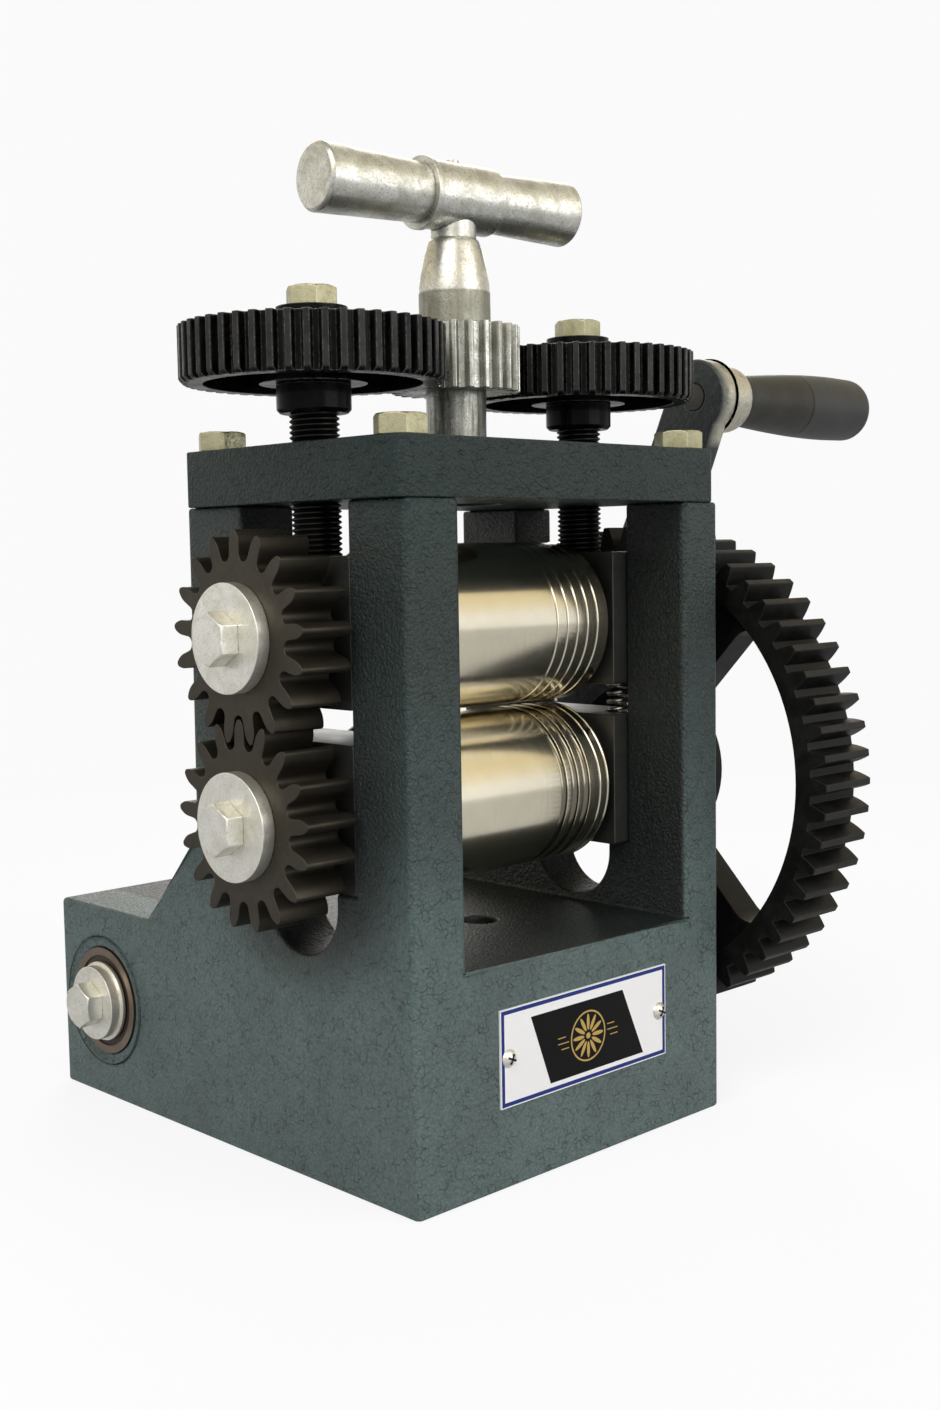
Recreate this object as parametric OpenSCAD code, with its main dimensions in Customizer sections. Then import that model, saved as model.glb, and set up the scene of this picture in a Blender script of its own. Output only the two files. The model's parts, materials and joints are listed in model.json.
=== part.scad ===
// Hand-cranked rolling mill for a jeweller's bench. Two rolls turn in chocks that slide
// in a cast frame. A T handle sets the gap through twin screws, and a crank drives the
// lower roll through an idler and a large spoked gear.
// The origin is on the axis of the bench bolt hole, at bench level, in the plane of the
// roll axes. X runs along the rolls, Y to the rear and Z up. Lengths are in millimetres.

/* [Frame casting] */
// Width of the casting over both roll walls
body_w = 130; // [126:0.5:140]
// Depth of the base block
base_d = 178; // [174:1:200]
// Height of the base block
base_h = 63.3; // [58:0.1:64]
// Depth of the two roll walls
wall_d = 97; // [94:0.5:105]
// Thickness of the wall on the gear side
left_wall_t = 19.5; // [17:0.5:21]
// Thickness of the wall on the drive side
right_wall_t = 17; // [15:0.5:19]
// Distance from the front face back to the roll axes
front_to_rolls = 46.8; // [44:0.2:50]
// Width of the chock slots
slot_w = 47.5; // [44:0.5:50]
// Height of the slot floor that carries the lower chocks
slot_floor = 84.5; // [82:0.5:90]
// Radius of the round relief under each slot
relief_r = 15.5; // [12:0.5:16]
// Height of the rib behind each wall, above the base
rib_h = 28.7; // [15:0.1:40]
// Depth of the rib behind each wall
rib_d = 29; // [15:0.5:40]
// Rounding of the upright edges
edge_r = 2; // [0.5:0.1:4]
// Rounding of the top rear edge of the base
rear_edge_r = 3; // [1:0.5:8]
// Radius of the bench bolt hole
bench_hole_r = 5.5; // [4:0.25:7]
// Distance of the bench bolt hole from the left face
bench_hole_in = 70; // [55:1:75]

/* [Top plate] */
// Thickness of the top plate
plate_t = 16.2; // [13:0.2:20]
// Overhang of the plate past the left wall
plate_overhang = 2.2; // [0:0.2:4]
// Distance that the plate stays inside the right face
plate_right_in = 2; // [0:0.2:3]
// Distance that the plate stays inside the walls' rear faces
plate_rear_in = 3; // [0:0.5:6]
// Distance of the left pair of bolts from the left face
left_bolt_in = 6; // [5.5:0.1:8]
// Distance of the right pair of bolts from the right face
right_bolt_in = 9.7; // [8:0.1:10.5]
// Distance of the bolts from the front and rear edges of the plate
bolt_edge = 7.8; // [7.2:0.1:12]

/* [Nameplate] */
// Width of the blank nameplate
name_w = 71.4; // [50:0.2:90]
// Height of the blank nameplate
name_h = 27.9; // [18:0.1:34]
// Thickness of the nameplate
name_t = 0.6; // [0.4:0.1:1.5]
// Height of the nameplate's lower edge
name_z = 23.3; // [10:0.1:28]
// Distance of the nameplate from the left face
name_in = 31; // [20:0.5:36]
// Distance of its screws from its side edges
name_screw_in = 3.2; // [2.8:0.1:6]

/* [Rolls] */
// Radius of the working rolls
roll_r = 25; // [23:0.25:25.5]
// Gap between the rolls at rest
roll_gap = 1; // [0.95:0.05:2]
// Radius of the thrust collars
collar_r = 15; // [13:0.5:18]
// Thickness of the thrust collars
collar_t = 3; // [1.5:0.25:4]
// Radius of the roll journals
journal_r = 12; // [11:0.25:13]
// Radius of the stub that carries each roll gear
stub_r = 9; // [8:0.25:10]
// Radius of the lower roll's drive end
drive_end_r = 10; // [9:0.25:11]
// Radius of the half-round wire grooves in the lower roll
wire_groove_r = 1.4; // [0.5:0.1:2]
// Number of wire grooves
wire_grooves = 3; // [1:1:4]
// Spacing of the wire grooves
wire_groove_step = 5.05; // [4.2:0.05:6]
// Number of scribed lines round the upper roll
upper_lines = 5; // [1:1:8]
// Spacing of the scribed lines round the upper roll
upper_line_step = 4.5; // [2:0.1:6]

/* [Chocks and springs] */
// Height of the lower roll axis above the slot floor
lower_chock_below = 19.5; // [18:0.1:22]
// Height of the lower chocks above their roll axis
lower_chock_above = 21.7; // [20.2:0.1:22]
// Depth of the upper chocks below their roll axis
upper_chock_below = 19.9; // [19.2:0.1:20.3]
// Height of the upper chocks above their roll axis
upper_chock_above = 21.6; // [20.5:0.1:24]
// Room over the upper chocks for the screws to lift
head_room = 14.7; // [8:0.1:18]
// Distance that the chocks stand proud of the inner wall faces
chock_proud = 6; // [2:0.5:8]
// Outer radius of the bronze bushes
bush_r = 15; // [14:0.25:16]
// Mean radius of a lift spring
spring_r = 3.3; // [2.8:0.1:3.6]
// Radius of the spring wire
spring_wire_r = 0.6; // [0.4:0.05:0.7]
// Turns in a lift spring
spring_turns = 6; // [4:1:7]
// Depth of the spring pockets
spring_pocket_h = 4; // [2:0.25:4.5]
// Distance of each spring from the roll plane
spring_y = 16; // [14:0.25:17.5]

/* [Roll gears] */
// Teeth of each roll gear
roll_gear_teeth = 17; // [15:1:19]
// Width of the roll gears
roll_gear_w = 16.8; // [12:0.1:20]
// Gap between the roll gears and the left wall
roll_gear_gap = 3; // [1:0.25:6]
// Radius of the roll gear washers
roll_washer_r = 15; // [10:0.5:18]
// Thickness of the roll gear washers
roll_washer_t = 4; // [2:0.25:6]

/* [Drive gears] */
// Tooth module of the drive gears
drive_m = 2.75; // [2.7:0.01:2.8]
// Teeth of the large gear
bull_teeth = 57; // [56:1:58]
// Teeth of the crank pinion
crank_teeth = 14; // [14:1:15]
// Teeth of the idler
idler_teeth = 15; // [15:1:16]
// Width of the drive gears
drive_w = 24.1; // [20:0.1:26]
// Gap between the drive gears and the right wall
drive_gap = 8.7; // [6:0.1:12]
// Inner radius of the large gear's rim
bull_rim_r = 69.5; // [66:0.5:71]
// Radius of the large gear's hub
bull_hub_r = 18; // [16.5:0.5:24]
// Thickness of the large gear's web
bull_web_t = 12; // [6:0.5:18]
// Half angle of each opening in the large gear
window_half = 46.5; // [34:0.5:48]
// Inner radius of the openings in the large gear
window_r = 28; // [26:0.5:34]
// Corner radius of the openings in the large gear
window_corner_r = 8; // [3:0.5:9]

/* [Crank] */
// Distance of the crank shaft behind the roll axes
crank_y = 105.9; // [102:0.1:107]
// Height of the crank shaft above the bench
crank_z = 32.1; // [30:0.1:34]
// Radius of the crank shaft
crank_shaft_r = 7.5; // [7:0.25:8]
// Distance from the crank shaft to the grip
crank_r = 224.3; // [150:0.5:240]
// Angle of the crank at rest, from the rear through the top
crank_rest = 118.3; // [95:0.1:130]
// Bow of the crank arm to the front
arm_bow = 6; // [0:0.25:12]
// Thickness of the crank arm
arm_t = 8; // [6:0.25:12]
// Distance of the crank arm from the right wall
arm_gap = 47; // [46:0.5:60]
// Width of the crank arm at the shaft
arm_w_shaft = 31; // [26:0.5:36]
// Width of the crank arm at the grip
arm_w_grip = 23; // [18:0.5:26]
// Radius of the arm's eye at the grip
arm_eye_r = 13; // [12:0.25:15]
// Length of the turned boss between arm and grip
grip_boss_l = 13; // [6:0.25:16]
// Length of the grip
grip_l = 73; // [60:0.5:100]
// Radius of the grip where it starts
grip_start_r = 8.6; // [8:0.1:11]
// Largest radius of the grip
grip_max_r = 11.8; // [11:0.1:15]
// Radius of the grip at its end
grip_end_r = 11.5; // [9.5:0.1:12]
// Radius of the spindle that the grip turns on
spindle_r = 4.5; // [3.5:0.25:5.5]

/* [Crank bearings] */
// Outer radius of a crank bearing
bearing_r = 17.5; // [17:0.25:18.5]
// Width of a crank bearing
bearing_w = 11; // [10:0.5:12]
// Radius of the bearing balls
ball_r = 3; // [2.5:0.05:3.1]
// Balls in each bearing
ball_count = 8; // [6:1:9]

/* [Setting gears and screws] */
// Distance of the left setting screw from the left face
left_screw_in = 9; // [8.5:0.1:10]
// Distance of the right setting screw from the right face
right_screw_in = 12; // [9:0.1:12.5]
// Teeth of each screw gear
screw_gear_teeth = 48; // [46:1:49]
// Teeth of the T handle's pinion
t_teeth = 24; // [22:1:25]
// Thickness of the screw gears
screw_gear_w = 15.6; // [10:0.2:17]
// Height of the hubs on the screw gears, under their bolts
screw_hub_h = 5.3; // [1:0.1:8]
// Height of the screw gears above the plate
screw_gear_z = 16.4; // [14:0.1:22]
// Radius of the setting screws
screw_r = 7; // [6:0.25:7.5]
// Radius of the collars under the screw gears
screw_collar_r = 10.4; // [9.4:0.1:12]
// Height of the collars under the screw gears
screw_collar_h = 8.1; // [5:0.1:9]

/* [T handle] */
// Height of the bar's axis above the plate
bar_z = 74.2; // [68:0.2:90]
// Length of the bar's left arm
bar_left = 49.5; // [30:0.5:70]
// Length of the bar's right arm
bar_right = 44.2; // [30:0.5:70]
// Radius of the bar at its ends
bar_end_r = 9.7; // [8:0.1:12]
// Radius of the bar beside the sleeve
bar_neck_r = 8.6; // [7.5:0.1:9.5]
// Half length of the sleeve on the bar
sleeve_half = 13; // [9:0.25:18]
// Radius of the sleeve on the bar
sleeve_r = 9.9; // [9:0.1:12]
// Angle of the bar in plan
bar_turn = -5.1; // [-90:0.1:90]
// Height of the pinion above the plate
t_pinion_z = 17; // [15:0.1:22]
// Width of the pinion
t_pinion_w = 19.3; // [18:0.1:22]
// Radius of the T handle's shaft under the pinion
t_shaft_r = 9; // [8.5:0.1:10]
// Radius of the shank over the pinion
shank_r = 10.7; // [9.6:0.1:12]

/* [Hidden] */
$fn = 96;

// Clearances: running fit, fixed fit, sliding fit, air beside a moving face, cut overrun
run_gap = 0.05;
fit_gap = 0.02;
slide_gap = 0.1;
air_gap = 0.3;
over = 1;

// Colours
paint = [0.34, 0.39, 0.39];
plate_paint = [0.20, 0.29, 0.30];
bare_steel = [0.72, 0.70, 0.66];
dark_steel = [0.36, 0.34, 0.32];
zinc = [0.70, 0.66, 0.52];
black_gloss = [0.06, 0.06, 0.07];
bronze = [0.70, 0.50, 0.24];
arm_paint = [0.35, 0.39, 0.42];

// Places of the casting's faces
left_x = -bench_hole_in;
right_x = left_x + body_w;
left_in_x = left_x + left_wall_t;
right_in_x = right_x - right_wall_t;
front_y = -front_to_rolls;
wall_rear_y = front_y + wall_d;
lower_z = slot_floor + lower_chock_below;
upper_z = lower_z + 2 * roll_r + roll_gap;
wall_top = upper_z + upper_chock_above + head_room;
plate_top = wall_top + plate_t;
plate_w = body_w + plate_overhang - plate_right_in;
plate_d = wall_d - plate_rear_in;
relief_drop = 4;
relief_z = slot_floor - relief_drop;

// M8 bolts, and the plate's bolts
bolt_r = 4;
bolt_af = 13;
bolt_head_h = 5.5;
end_bolt_l = 20;
end_hole_l = 22;
plate_bolt_l = 16;
bolt_xs = [left_x + left_bolt_in, right_x - right_bolt_in];
bolt_ys = [front_y + bolt_edge, front_y + plate_d - bolt_edge];

// Nameplate screws
name_screw_r = 1.5;
name_screw_head_r = 2.7;
name_screw_head_h = 1.6;
name_screw_l = 8;
name_screw_xs = [left_x + name_in + name_screw_in, left_x + name_in + name_w - name_screw_in];
name_screw_z = name_z + name_h / 2;

// Chocks, and the rolls between them
chock_set_in = 0.5;
chock_w = slot_w - 2 * slide_gap;
chock_edge_r = 1;
left_chock_x = [left_x + chock_set_in, left_in_x + chock_proud];
right_chock_x = [right_in_x - chock_proud, right_x - chock_set_in];
end_play = 0.05;
roll_x0 = left_chock_x[1] + end_play + collar_t;
roll_x1 = right_chock_x[0] - end_play - collar_t;
roll_edge_r = 0.8;
upper_end_x = right_x + over;

// Grooves, counted from the right end of each roll
first_groove_in = 21.4;
first_line_in = 23.8;
lower_line_ins = [5.2, 1.7];
line_half_w = 0.35;
line_depth = 0.45;

// Roll gears
roll_gear_m = (2 * roll_r + roll_gap) / roll_gear_teeth;
roll_gear_x1 = left_x - roll_gear_gap;
roll_gear_x0 = roll_gear_x1 - roll_gear_w;
roll_key_w = 5;
roll_key_l = roll_gear_w - 2 * over;

// Drive train: the idler touches the large gear and the crank pinion
drive_x0 = right_x + drive_gap;
drive_x1 = drive_x0 + drive_w;
bull_pitch_r = drive_m * bull_teeth / 2;
crank_pitch_r = drive_m * crank_teeth / 2;
idler_pitch_r = drive_m * idler_teeth / 2;
reach_a = bull_pitch_r + idler_pitch_r;
reach_b = crank_pitch_r + idler_pitch_r;
axis_gap = norm([crank_y, crank_z - lower_z]);
axis_angle = atan2(crank_z - lower_z, crank_y);
swing_side = reach_a * reach_a + axis_gap * axis_gap - reach_b * reach_b;
idler_angle = axis_angle - acos(swing_side / (2 * reach_a * axis_gap));
idler_y = reach_a * cos(idler_angle);
idler_z = lower_z + reach_a * sin(idler_angle);
bull_phase = 180;
idler_phase = mesh_phase(bull_phase, bull_teeth, idler_angle, idler_teeth);
crank_side = atan2(crank_z - idler_z, crank_y - idler_y);
crank_phase = mesh_phase(idler_phase, idler_teeth, crank_side, crank_teeth);
bull_hub_gap = 3;
bull_hub_x = right_x + bull_hub_gap;
bull_key_w = 6;
rim_overlap = 0.5;
bull_washer_r = 16;
bull_washer_t = 4;
stud_r = 6;
stud_collar_r = 11;
stud_depth = 18;
idler_bush_r = 9;
ring_t = 1.2;
ring_groove_h = 1.2;
ring_r = 9;
ring_gap_half = 35;
stud_end = 2;

// Crank arm and grip
arm_x = right_x + arm_gap;
arm_hub_r = 16;
crank_shoulder_r = 10;
crank_key_w = 5;
crank_washer_r = 12;
crank_washer_t = 3;
end_washer_r = 13;
end_step_r = 12;
end_washer_t = 1.3;
end_step_t = 3.4;
grip_y = crank_y + crank_r * cos(crank_rest);
grip_z = crank_z + crank_r * sin(crank_rest);
arm_steps = 24;
grip_boss_x = arm_x + arm_t;
boss_foot_r = 12.6;
boss_foot_h = 1.6;
boss_r = 11.6;
boss_dome_h = 4;
boss_tip_r = 8.8;
boss_groove = 2;
grip_x0 = grip_boss_x + grip_boss_l + boss_groove;
grip_x1 = grip_x0 + grip_l;
grip_peak_share = 0.76;
grip_round = 4;
grip_steps = 12;
grip_straight = 1 - grip_round / grip_l;
spindle_head_r = 7;
spindle_head_h = 4;
spindle_inset = 1;

// Bearings
race_in_r = crank_shaft_r + (bearing_r - crank_shaft_r) / 2;
land_share = 0.247;
inner_land_r = crank_shaft_r + (bearing_r - crank_shaft_r) * land_share;
outer_land_r = 2 * race_in_r - inner_land_r;
race_gap = 0.1;
shield_t = 0.5;
shield_in = 0.4;
shaft_bore_r = 11;
facing_r = 21;
facing_h = 0.4;

// Setting screws and their gears
screw_gear_z0 = plate_top + screw_gear_z;
screw_gear_z1 = screw_gear_z0 + screw_gear_w;
screw_hub_z1 = screw_gear_z1 + screw_hub_h;
screw_hub_r = 10;
screw_foot_h = 4;
screw_foot_z = upper_z + upper_chock_above - screw_foot_h;
screw_stem_r = 6;
screw_gear_web_t = 5.5;
screw_gear_boss_r = 15;
rim_t = 4;
top_bolt_head_h = 5.5;
tooth_chamfer = 1.2;

// The T handle stands halfway between the screws; its gears run slightly spread
left_screw_x = left_x + left_screw_in;
right_screw_x = right_x - right_screw_in;
t_x = (left_screw_x + right_screw_x) / 2;
spread_share = 1 / 3;
top_m = (right_screw_x - t_x) / ((screw_gear_teeth + t_teeth) / 2 + spread_share);

// T handle
t_journal_r = 7.95;
retainer_r = 12;
retainer_t = 3;
retainer_screw_r = 3;
retainer_head_r = 6;
recess_h = retainer_t + over;
recess_r = retainer_r + over;
t_pinion_z0 = plate_top + t_pinion_z;
retainer_screw_l = 12;
t_pinion_z1 = t_pinion_z0 + t_pinion_w;
shank_h = 9.9;
shank_taper_h = 14.8;
shank_tip_r = 7.8;
shank_bow = 1.5;
shank_steps = 8;
t_neck_r = 6.8;
t_stub_r = 5;
bar_top = plate_top + bar_z;
bar_mid_r = 7;
bar_chamfer = 1;
sleeve_ring_r = 10.5;
sleeve_ring_w = 2;
bar_pin_r = 2;
bar_pin_proud = 0.7;
bar_pin_in = 10;

// Tooth forms, as shares of the module
flank_steps = 4;
fillet_share = 0.25;
drive_add_share = 0.93;
drive_ded_share = 1.2;
drive_waist_share = 0.8;
drive_slack_share = 0.05;
top_gear_add_share = 0.6;
top_pinion_add_share = 0.867;
top_ded_share = 1.05;
top_slack_share = 0.05;
pressure = 20;
top_pressure = 14.5;

// Long finger teeth of the roll gears, as shares of the module: tip and root from the pitch
// circle, half width, radius of the working face, its start below the pitch circle, fillet
finger_tip_share = 1.2;
finger_root_share = 1.535;
finger_half_share = 0.7;
finger_face_share = 2;
finger_start_share = 0.165;
finger_fillet_share = 0.667;
finger_steps = 6;

// Points along an arc, from one angle to another
function arc(centre, r, from, to, steps) =
    [for (i = [0:steps]) let (a = from + (to - from) * i / steps) centre + r * [cos(a), sin(a)]];

// Point turned about the origin
function turn(p, a) = [p[0] * cos(a) - p[1] * sin(a), p[0] * sin(a) + p[1] * cos(a)];

// Involute of an angle, in degrees
function involute(a) = tan(a) * 180 / PI - a;

// Tooth phase of gear b so that it meshes with gear a, seen from a at angle side
function mesh_phase(phase_a, teeth_a, side, teeth_b) =
    side + 180 - (0.5 - (side - phase_a) * teeth_a / 360) * 360 / teeth_b;

// Radii and half angles up one flank of a tooth, from its root to its tip
function flank(m, teeth, angle, tip_r, root_r, slack, waist) =
    let (pitch_r = m * teeth / 2, base_r = pitch_r * cos(angle))
    let (base_half = 90 / teeth - slack / pitch_r * 180 / PI + involute(angle))
    let (low_r = max(base_r, root_r), fillet = m * fillet_share)
    concat(base_r > root_r + fillet
        ? [[root_r, base_half * waist + fillet / root_r * 180 / PI / 2],
            [root_r + fillet, base_half * waist]]
        : [],
        [for (i = [0:flank_steps]) let (r = low_r + (tip_r - low_r) * i / flank_steps)
            [r, base_half - involute(acos(min(1, base_r / r)))]]);

// Outline of a spur gear with a tooth at angle phase
module gear_outline(m, teeth, angle, add, ded, slack, waist, phase) {
    side = flank(m, teeth, angle, m * (teeth / 2 + add), m * (teeth / 2 - ded), slack * m, waist);
    last = len(side) - 1;
    polygon([for (t = [0:teeth - 1]) let (mid = phase + t * 360 / teeth)
        each concat([for (s = side) s[0] * [cos(mid - s[1]), sin(mid - s[1])]],
            [for (i = [last:-1:0]) side[i][0] * [cos(mid + side[i][1]), sin(mid + side[i][1])]])]);
}

// Upper half of a finger tooth along +X: root fillet, working face, then the round tip,
// whose arc touches the face
function finger_half(m, teeth) =
    let (pitch_r = m * teeth / 2, half_step = 180 / teeth, fillet = finger_fillet_share * m)
    let (tip = pitch_r + finger_tip_share * m, root = pitch_r - finger_root_share * m)
    let (start = pitch_r - finger_start_share * m, half = finger_half_share * m)
    let (face = finger_face_share * m, rise = tip - start, drop = face - half)
    let (tip_r = (face * face - rise * rise - drop * drop) / 2 / (face - rise))
    let (side = atan2(drop, rise - tip_r), step = side / finger_steps)
    concat(arc((root + fillet) * [cos(half_step), sin(half_step)], fillet, 180 + half_step, 270, finger_steps),
        arc([start, half - face], face, 90, side, finger_steps),
        arc([tip - tip_r, 0], tip_r, side - step, 0, finger_steps - 1));

// Outline of a gear with finger teeth, one of them at angle phase
module finger_gear_outline(m, teeth, phase) {
    side = finger_half(m, teeth);
    last = len(side) - 1;
    polygon([for (t = [0:teeth - 1]) let (mid = phase + t * 360 / teeth)
        each concat([for (p = side) turn([p[0], -p[1]], mid)],
            [for (i = [last - 1:-1:1]) turn(side[i], mid)])]);
}

// Lays children drawn about Z along the X axis, from x onwards, at y and z
module along_x(x, y, z) {
    translate([x, y, z]) rotate([90, 0, 90]) children();
}

// Round bar about Z, given as a list of [z, radius] corners
module turned(profile) {
    last = len(profile) - 1;
    rotate_extrude()
        polygon(concat([[0, profile[0][0]]], [for (p = profile) [p[1], p[0]]], [[0, profile[last][0]]]));
}

// Flat ring about Z
module ring(outer, inner, h) {
    difference() {
        cylinder(r = outer, h = h);
        translate([0, 0, -over]) cylinder(r = inner, h = h + 2 * over);
    }
}

// Rectangle with round corners, drawn with true arcs
module round_rect(size, r) {
    translate([r, 0]) square([size[0] - 2 * r, size[1]]);
    translate([0, r]) square([size[0], size[1] - 2 * r]);
    for (x = [r, size[0] - r], y = [r, size[1] - r]) translate([x, y]) circle(r);
}

// Hexagon bolt whose head stands on z = 0 and whose shank points down
module hex_bolt(r, l, af, head_h) {
    corner_r = af / 2 / cos(30);
    chamfer_h = (corner_r - af / 2) * tan(30);
    intersection() {
        cylinder(r = corner_r, h = head_h, $fn = 6);
        turned([[0, corner_r], [head_h - chamfer_h, corner_r], [head_h, af / 2]]);
    }
    translate([0, 0, -l]) cylinder(r = r, h = l);
}

// Side view of the base block, y then z, with its rounded rear edge
module base_side() {
    difference() {
        translate([front_y, 0]) square([base_d, base_h]);
        translate([front_y + base_d - rear_edge_r, base_h - rear_edge_r]) difference() {
            square(rear_edge_r + over);
            circle(rear_edge_r);
        }
    }
}

// One roll wall with the rib behind it
module roll_wall(x, t) {
    translate([x, front_y, 0]) linear_extrude(wall_top) round_rect([t, wall_d], edge_r);
    along_x(x, 0, 0) linear_extrude(t) polygon([[wall_rear_y - edge_r, base_h - over],
        [wall_rear_y - edge_r, base_h + rib_h + edge_r], [wall_rear_y, base_h + rib_h],
        [wall_rear_y + rib_d, base_h], [wall_rear_y + rib_d, base_h - over]]);
}

// Seat, facing and bore for the crank shaft, cut in from the left face
module bearing_seat() {
    translate([0, 0, -over]) cylinder(r = bearing_r + fit_gap, h = bearing_w + over);
    translate([0, 0, -over]) cylinder(r = facing_r, h = facing_h + over);
}

module frame_casting() {
    color(paint) difference() {
        union() {
            intersection() {
                translate([left_x, front_y, 0]) linear_extrude(base_h) round_rect([body_w, base_d], edge_r);
                along_x(left_x, 0, 0) linear_extrude(body_w) base_side();
            }
            roll_wall(left_x, left_wall_t);
            roll_wall(right_in_x, right_wall_t);
        }
        translate([left_x - over, -slot_w / 2, slot_floor])
            cube([body_w + 2 * over, slot_w, wall_top - slot_floor + over]);
        translate([left_x - over, -relief_r, relief_z])
            cube([body_w + 2 * over, 2 * relief_r, relief_drop + over]);
        along_x(left_x - over, 0, relief_z) cylinder(r = relief_r, h = body_w + 2 * over);
        translate([0, 0, -over]) cylinder(r = bench_hole_r, h = base_h + 2 * over);
        for (x = bolt_xs, y = bolt_ys)
            translate([x, y, wall_top - plate_bolt_l - over])
                cylinder(r = bolt_r + run_gap, h = plate_bolt_l + 2 * over);
        for (x = name_screw_xs)
            translate([x, front_y - over, name_screw_z]) rotate([-90, 0, 0])
                cylinder(r = name_screw_r + run_gap, h = name_screw_l + over);
        along_x(left_x, crank_y, crank_z) bearing_seat();
        along_x(right_x, crank_y, crank_z) mirror([0, 0, 1]) bearing_seat();
        along_x(left_x - over, crank_y, crank_z) cylinder(r = shaft_bore_r, h = body_w + 2 * over);
        along_x(right_x - stud_depth, idler_y, idler_z) cylinder(r = stud_r + fit_gap, h = stud_depth + over);
    }
}

module top_plate() {
    color(plate_paint) difference() {
        translate([left_x - plate_overhang, front_y, wall_top]) linear_extrude(plate_t)
            round_rect([plate_w, plate_d], edge_r);
        for (x = [left_screw_x, right_screw_x])
            translate([x, 0, wall_top - over]) cylinder(r = screw_r + run_gap, h = plate_t + 2 * over);
        translate([t_x, 0, wall_top - over]) cylinder(r = t_journal_r + run_gap, h = plate_t + 2 * over);
        translate([t_x, 0, wall_top - over]) cylinder(r = recess_r, h = recess_h + over);
        for (x = bolt_xs, y = bolt_ys)
            translate([x, y, wall_top - over]) cylinder(r = bolt_r + run_gap, h = plate_t + 2 * over);
    }
}

module top_plate_bolts() {
    color(zinc) for (x = bolt_xs, y = bolt_ys)
        translate([x, y, plate_top]) hex_bolt(bolt_r, plate_t + plate_bolt_l, bolt_af, bolt_head_h);
}

module nameplate() {
    color("white") difference() {
        translate([left_x + name_in, front_y - name_t, name_z]) cube([name_w, name_t, name_h]);
        for (x = name_screw_xs)
            translate([x, front_y - name_t - over, name_screw_z]) rotate([-90, 0, 0])
                cylinder(r = name_screw_r + run_gap, h = name_t + 2 * over);
    }
}

// Dome-headed screw along Y, with its head to the front
module nameplate_screws() {
    dome_r = (name_screw_head_r * name_screw_head_r / name_screw_head_h + name_screw_head_h) / 2;
    color(zinc) for (x = name_screw_xs)
        translate([x, front_y - name_t, name_screw_z]) rotate([90, 0, 0]) {
            intersection() {
                translate([0, 0, name_screw_head_h - dome_r]) sphere(dome_r);
                cylinder(r = name_screw_head_r + over, h = name_screw_head_h + over);
            }
            translate([0, 0, -name_screw_l]) cylinder(r = name_screw_r, h = name_screw_l);
        }
}

// Sliding bearing block between two x places, with a bore for its bush
module chock(xs, axis_z, below, above) {
    difference() {
        translate([xs[0], 0, 0]) rotate([90, 0, 90]) linear_extrude(xs[1] - xs[0])
            translate([-chock_w / 2, axis_z - below]) round_rect([chock_w, below + above], chock_edge_r);
        along_x(xs[0] - over, 0, axis_z) cylinder(r = bush_r + fit_gap, h = xs[1] - xs[0] + 2 * over);
        children();
    }
}

function spring_x(xs) = (xs[0] + xs[1]) / 2;
spring_pocket_gap = 0.5;
spring_pocket_r = spring_r + spring_wire_r + spring_pocket_gap;
spring_z0 = lower_z + lower_chock_above - spring_pocket_h;
spring_z1 = upper_z - upper_chock_below + spring_pocket_h;

module lower_chock(xs) {
    color(dark_steel) chock(xs, lower_z, lower_chock_below, lower_chock_above)
        for (y = [-spring_y, spring_y])
            translate([spring_x(xs), y, spring_z0]) cylinder(r = spring_pocket_r, h = spring_pocket_h + over);
}

module upper_chock(xs, screw_x) {
    color(dark_steel) chock(xs, upper_z, upper_chock_below, upper_chock_above) {
        for (y = [-spring_y, spring_y])
            translate([spring_x(xs), y, spring_z1 - spring_pocket_h - over])
                cylinder(r = spring_pocket_r, h = spring_pocket_h + over);
        translate([screw_x, 0, screw_foot_z]) cylinder(r = screw_r + run_gap, h = screw_foot_h + over);
    }
}

module lower_chock_left() {
    lower_chock(left_chock_x);
}

module lower_chock_right() {
    lower_chock(right_chock_x);
}

module upper_chock_left() {
    upper_chock(left_chock_x, left_screw_x);
}

module upper_chock_right() {
    upper_chock(right_chock_x, right_screw_x);
}

module roll_bushes(axis_z) {
    color(bronze) for (xs = [left_chock_x, right_chock_x])
        along_x(xs[0], 0, axis_z) ring(bush_r, journal_r + run_gap, xs[1] - xs[0]);
}

module lower_roll_bushes() {
    roll_bushes(lower_z);
}

module upper_roll_bushes() {
    roll_bushes(upper_z);
}

// One spring as a tube round a helix: eight rings to a turn, six sides to a ring
ring_sides = 6;
turn_rings = 8;
spring_rings = spring_turns * turn_rings;
spring_rise = spring_z1 - spring_z0 - 2 * spring_wire_r;
function spring_point(i) = [spring_r * cos(i * 360 / turn_rings), spring_r * sin(i * 360 / turn_rings),
    spring_wire_r + spring_rise * i / spring_rings];
function unit(v) = v / norm(v);
function spring_ring(i) =
    let (a = i * 360 / turn_rings, out = [cos(a), sin(a), 0])
    let (ahead = unit([-sin(a), cos(a), spring_rise / spring_turns / (2 * PI * spring_r)]), up = cross(out, ahead))
    [for (s = [0:ring_sides - 1]) let (b = s * 360 / ring_sides)
        spring_point(i) + spring_wire_r * (out * cos(b) + up * sin(b))];

// Least gap of the wire to its own neighbouring turns, measured on the ring centres
spring_least_gap = min([for (i = [0:spring_rings], j = [i + turn_rings / 2:spring_rings])
    norm(spring_point(i) - spring_point(j))]) - 2 * spring_wire_r;
echo(spring_least_gap = spring_least_gap);

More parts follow.
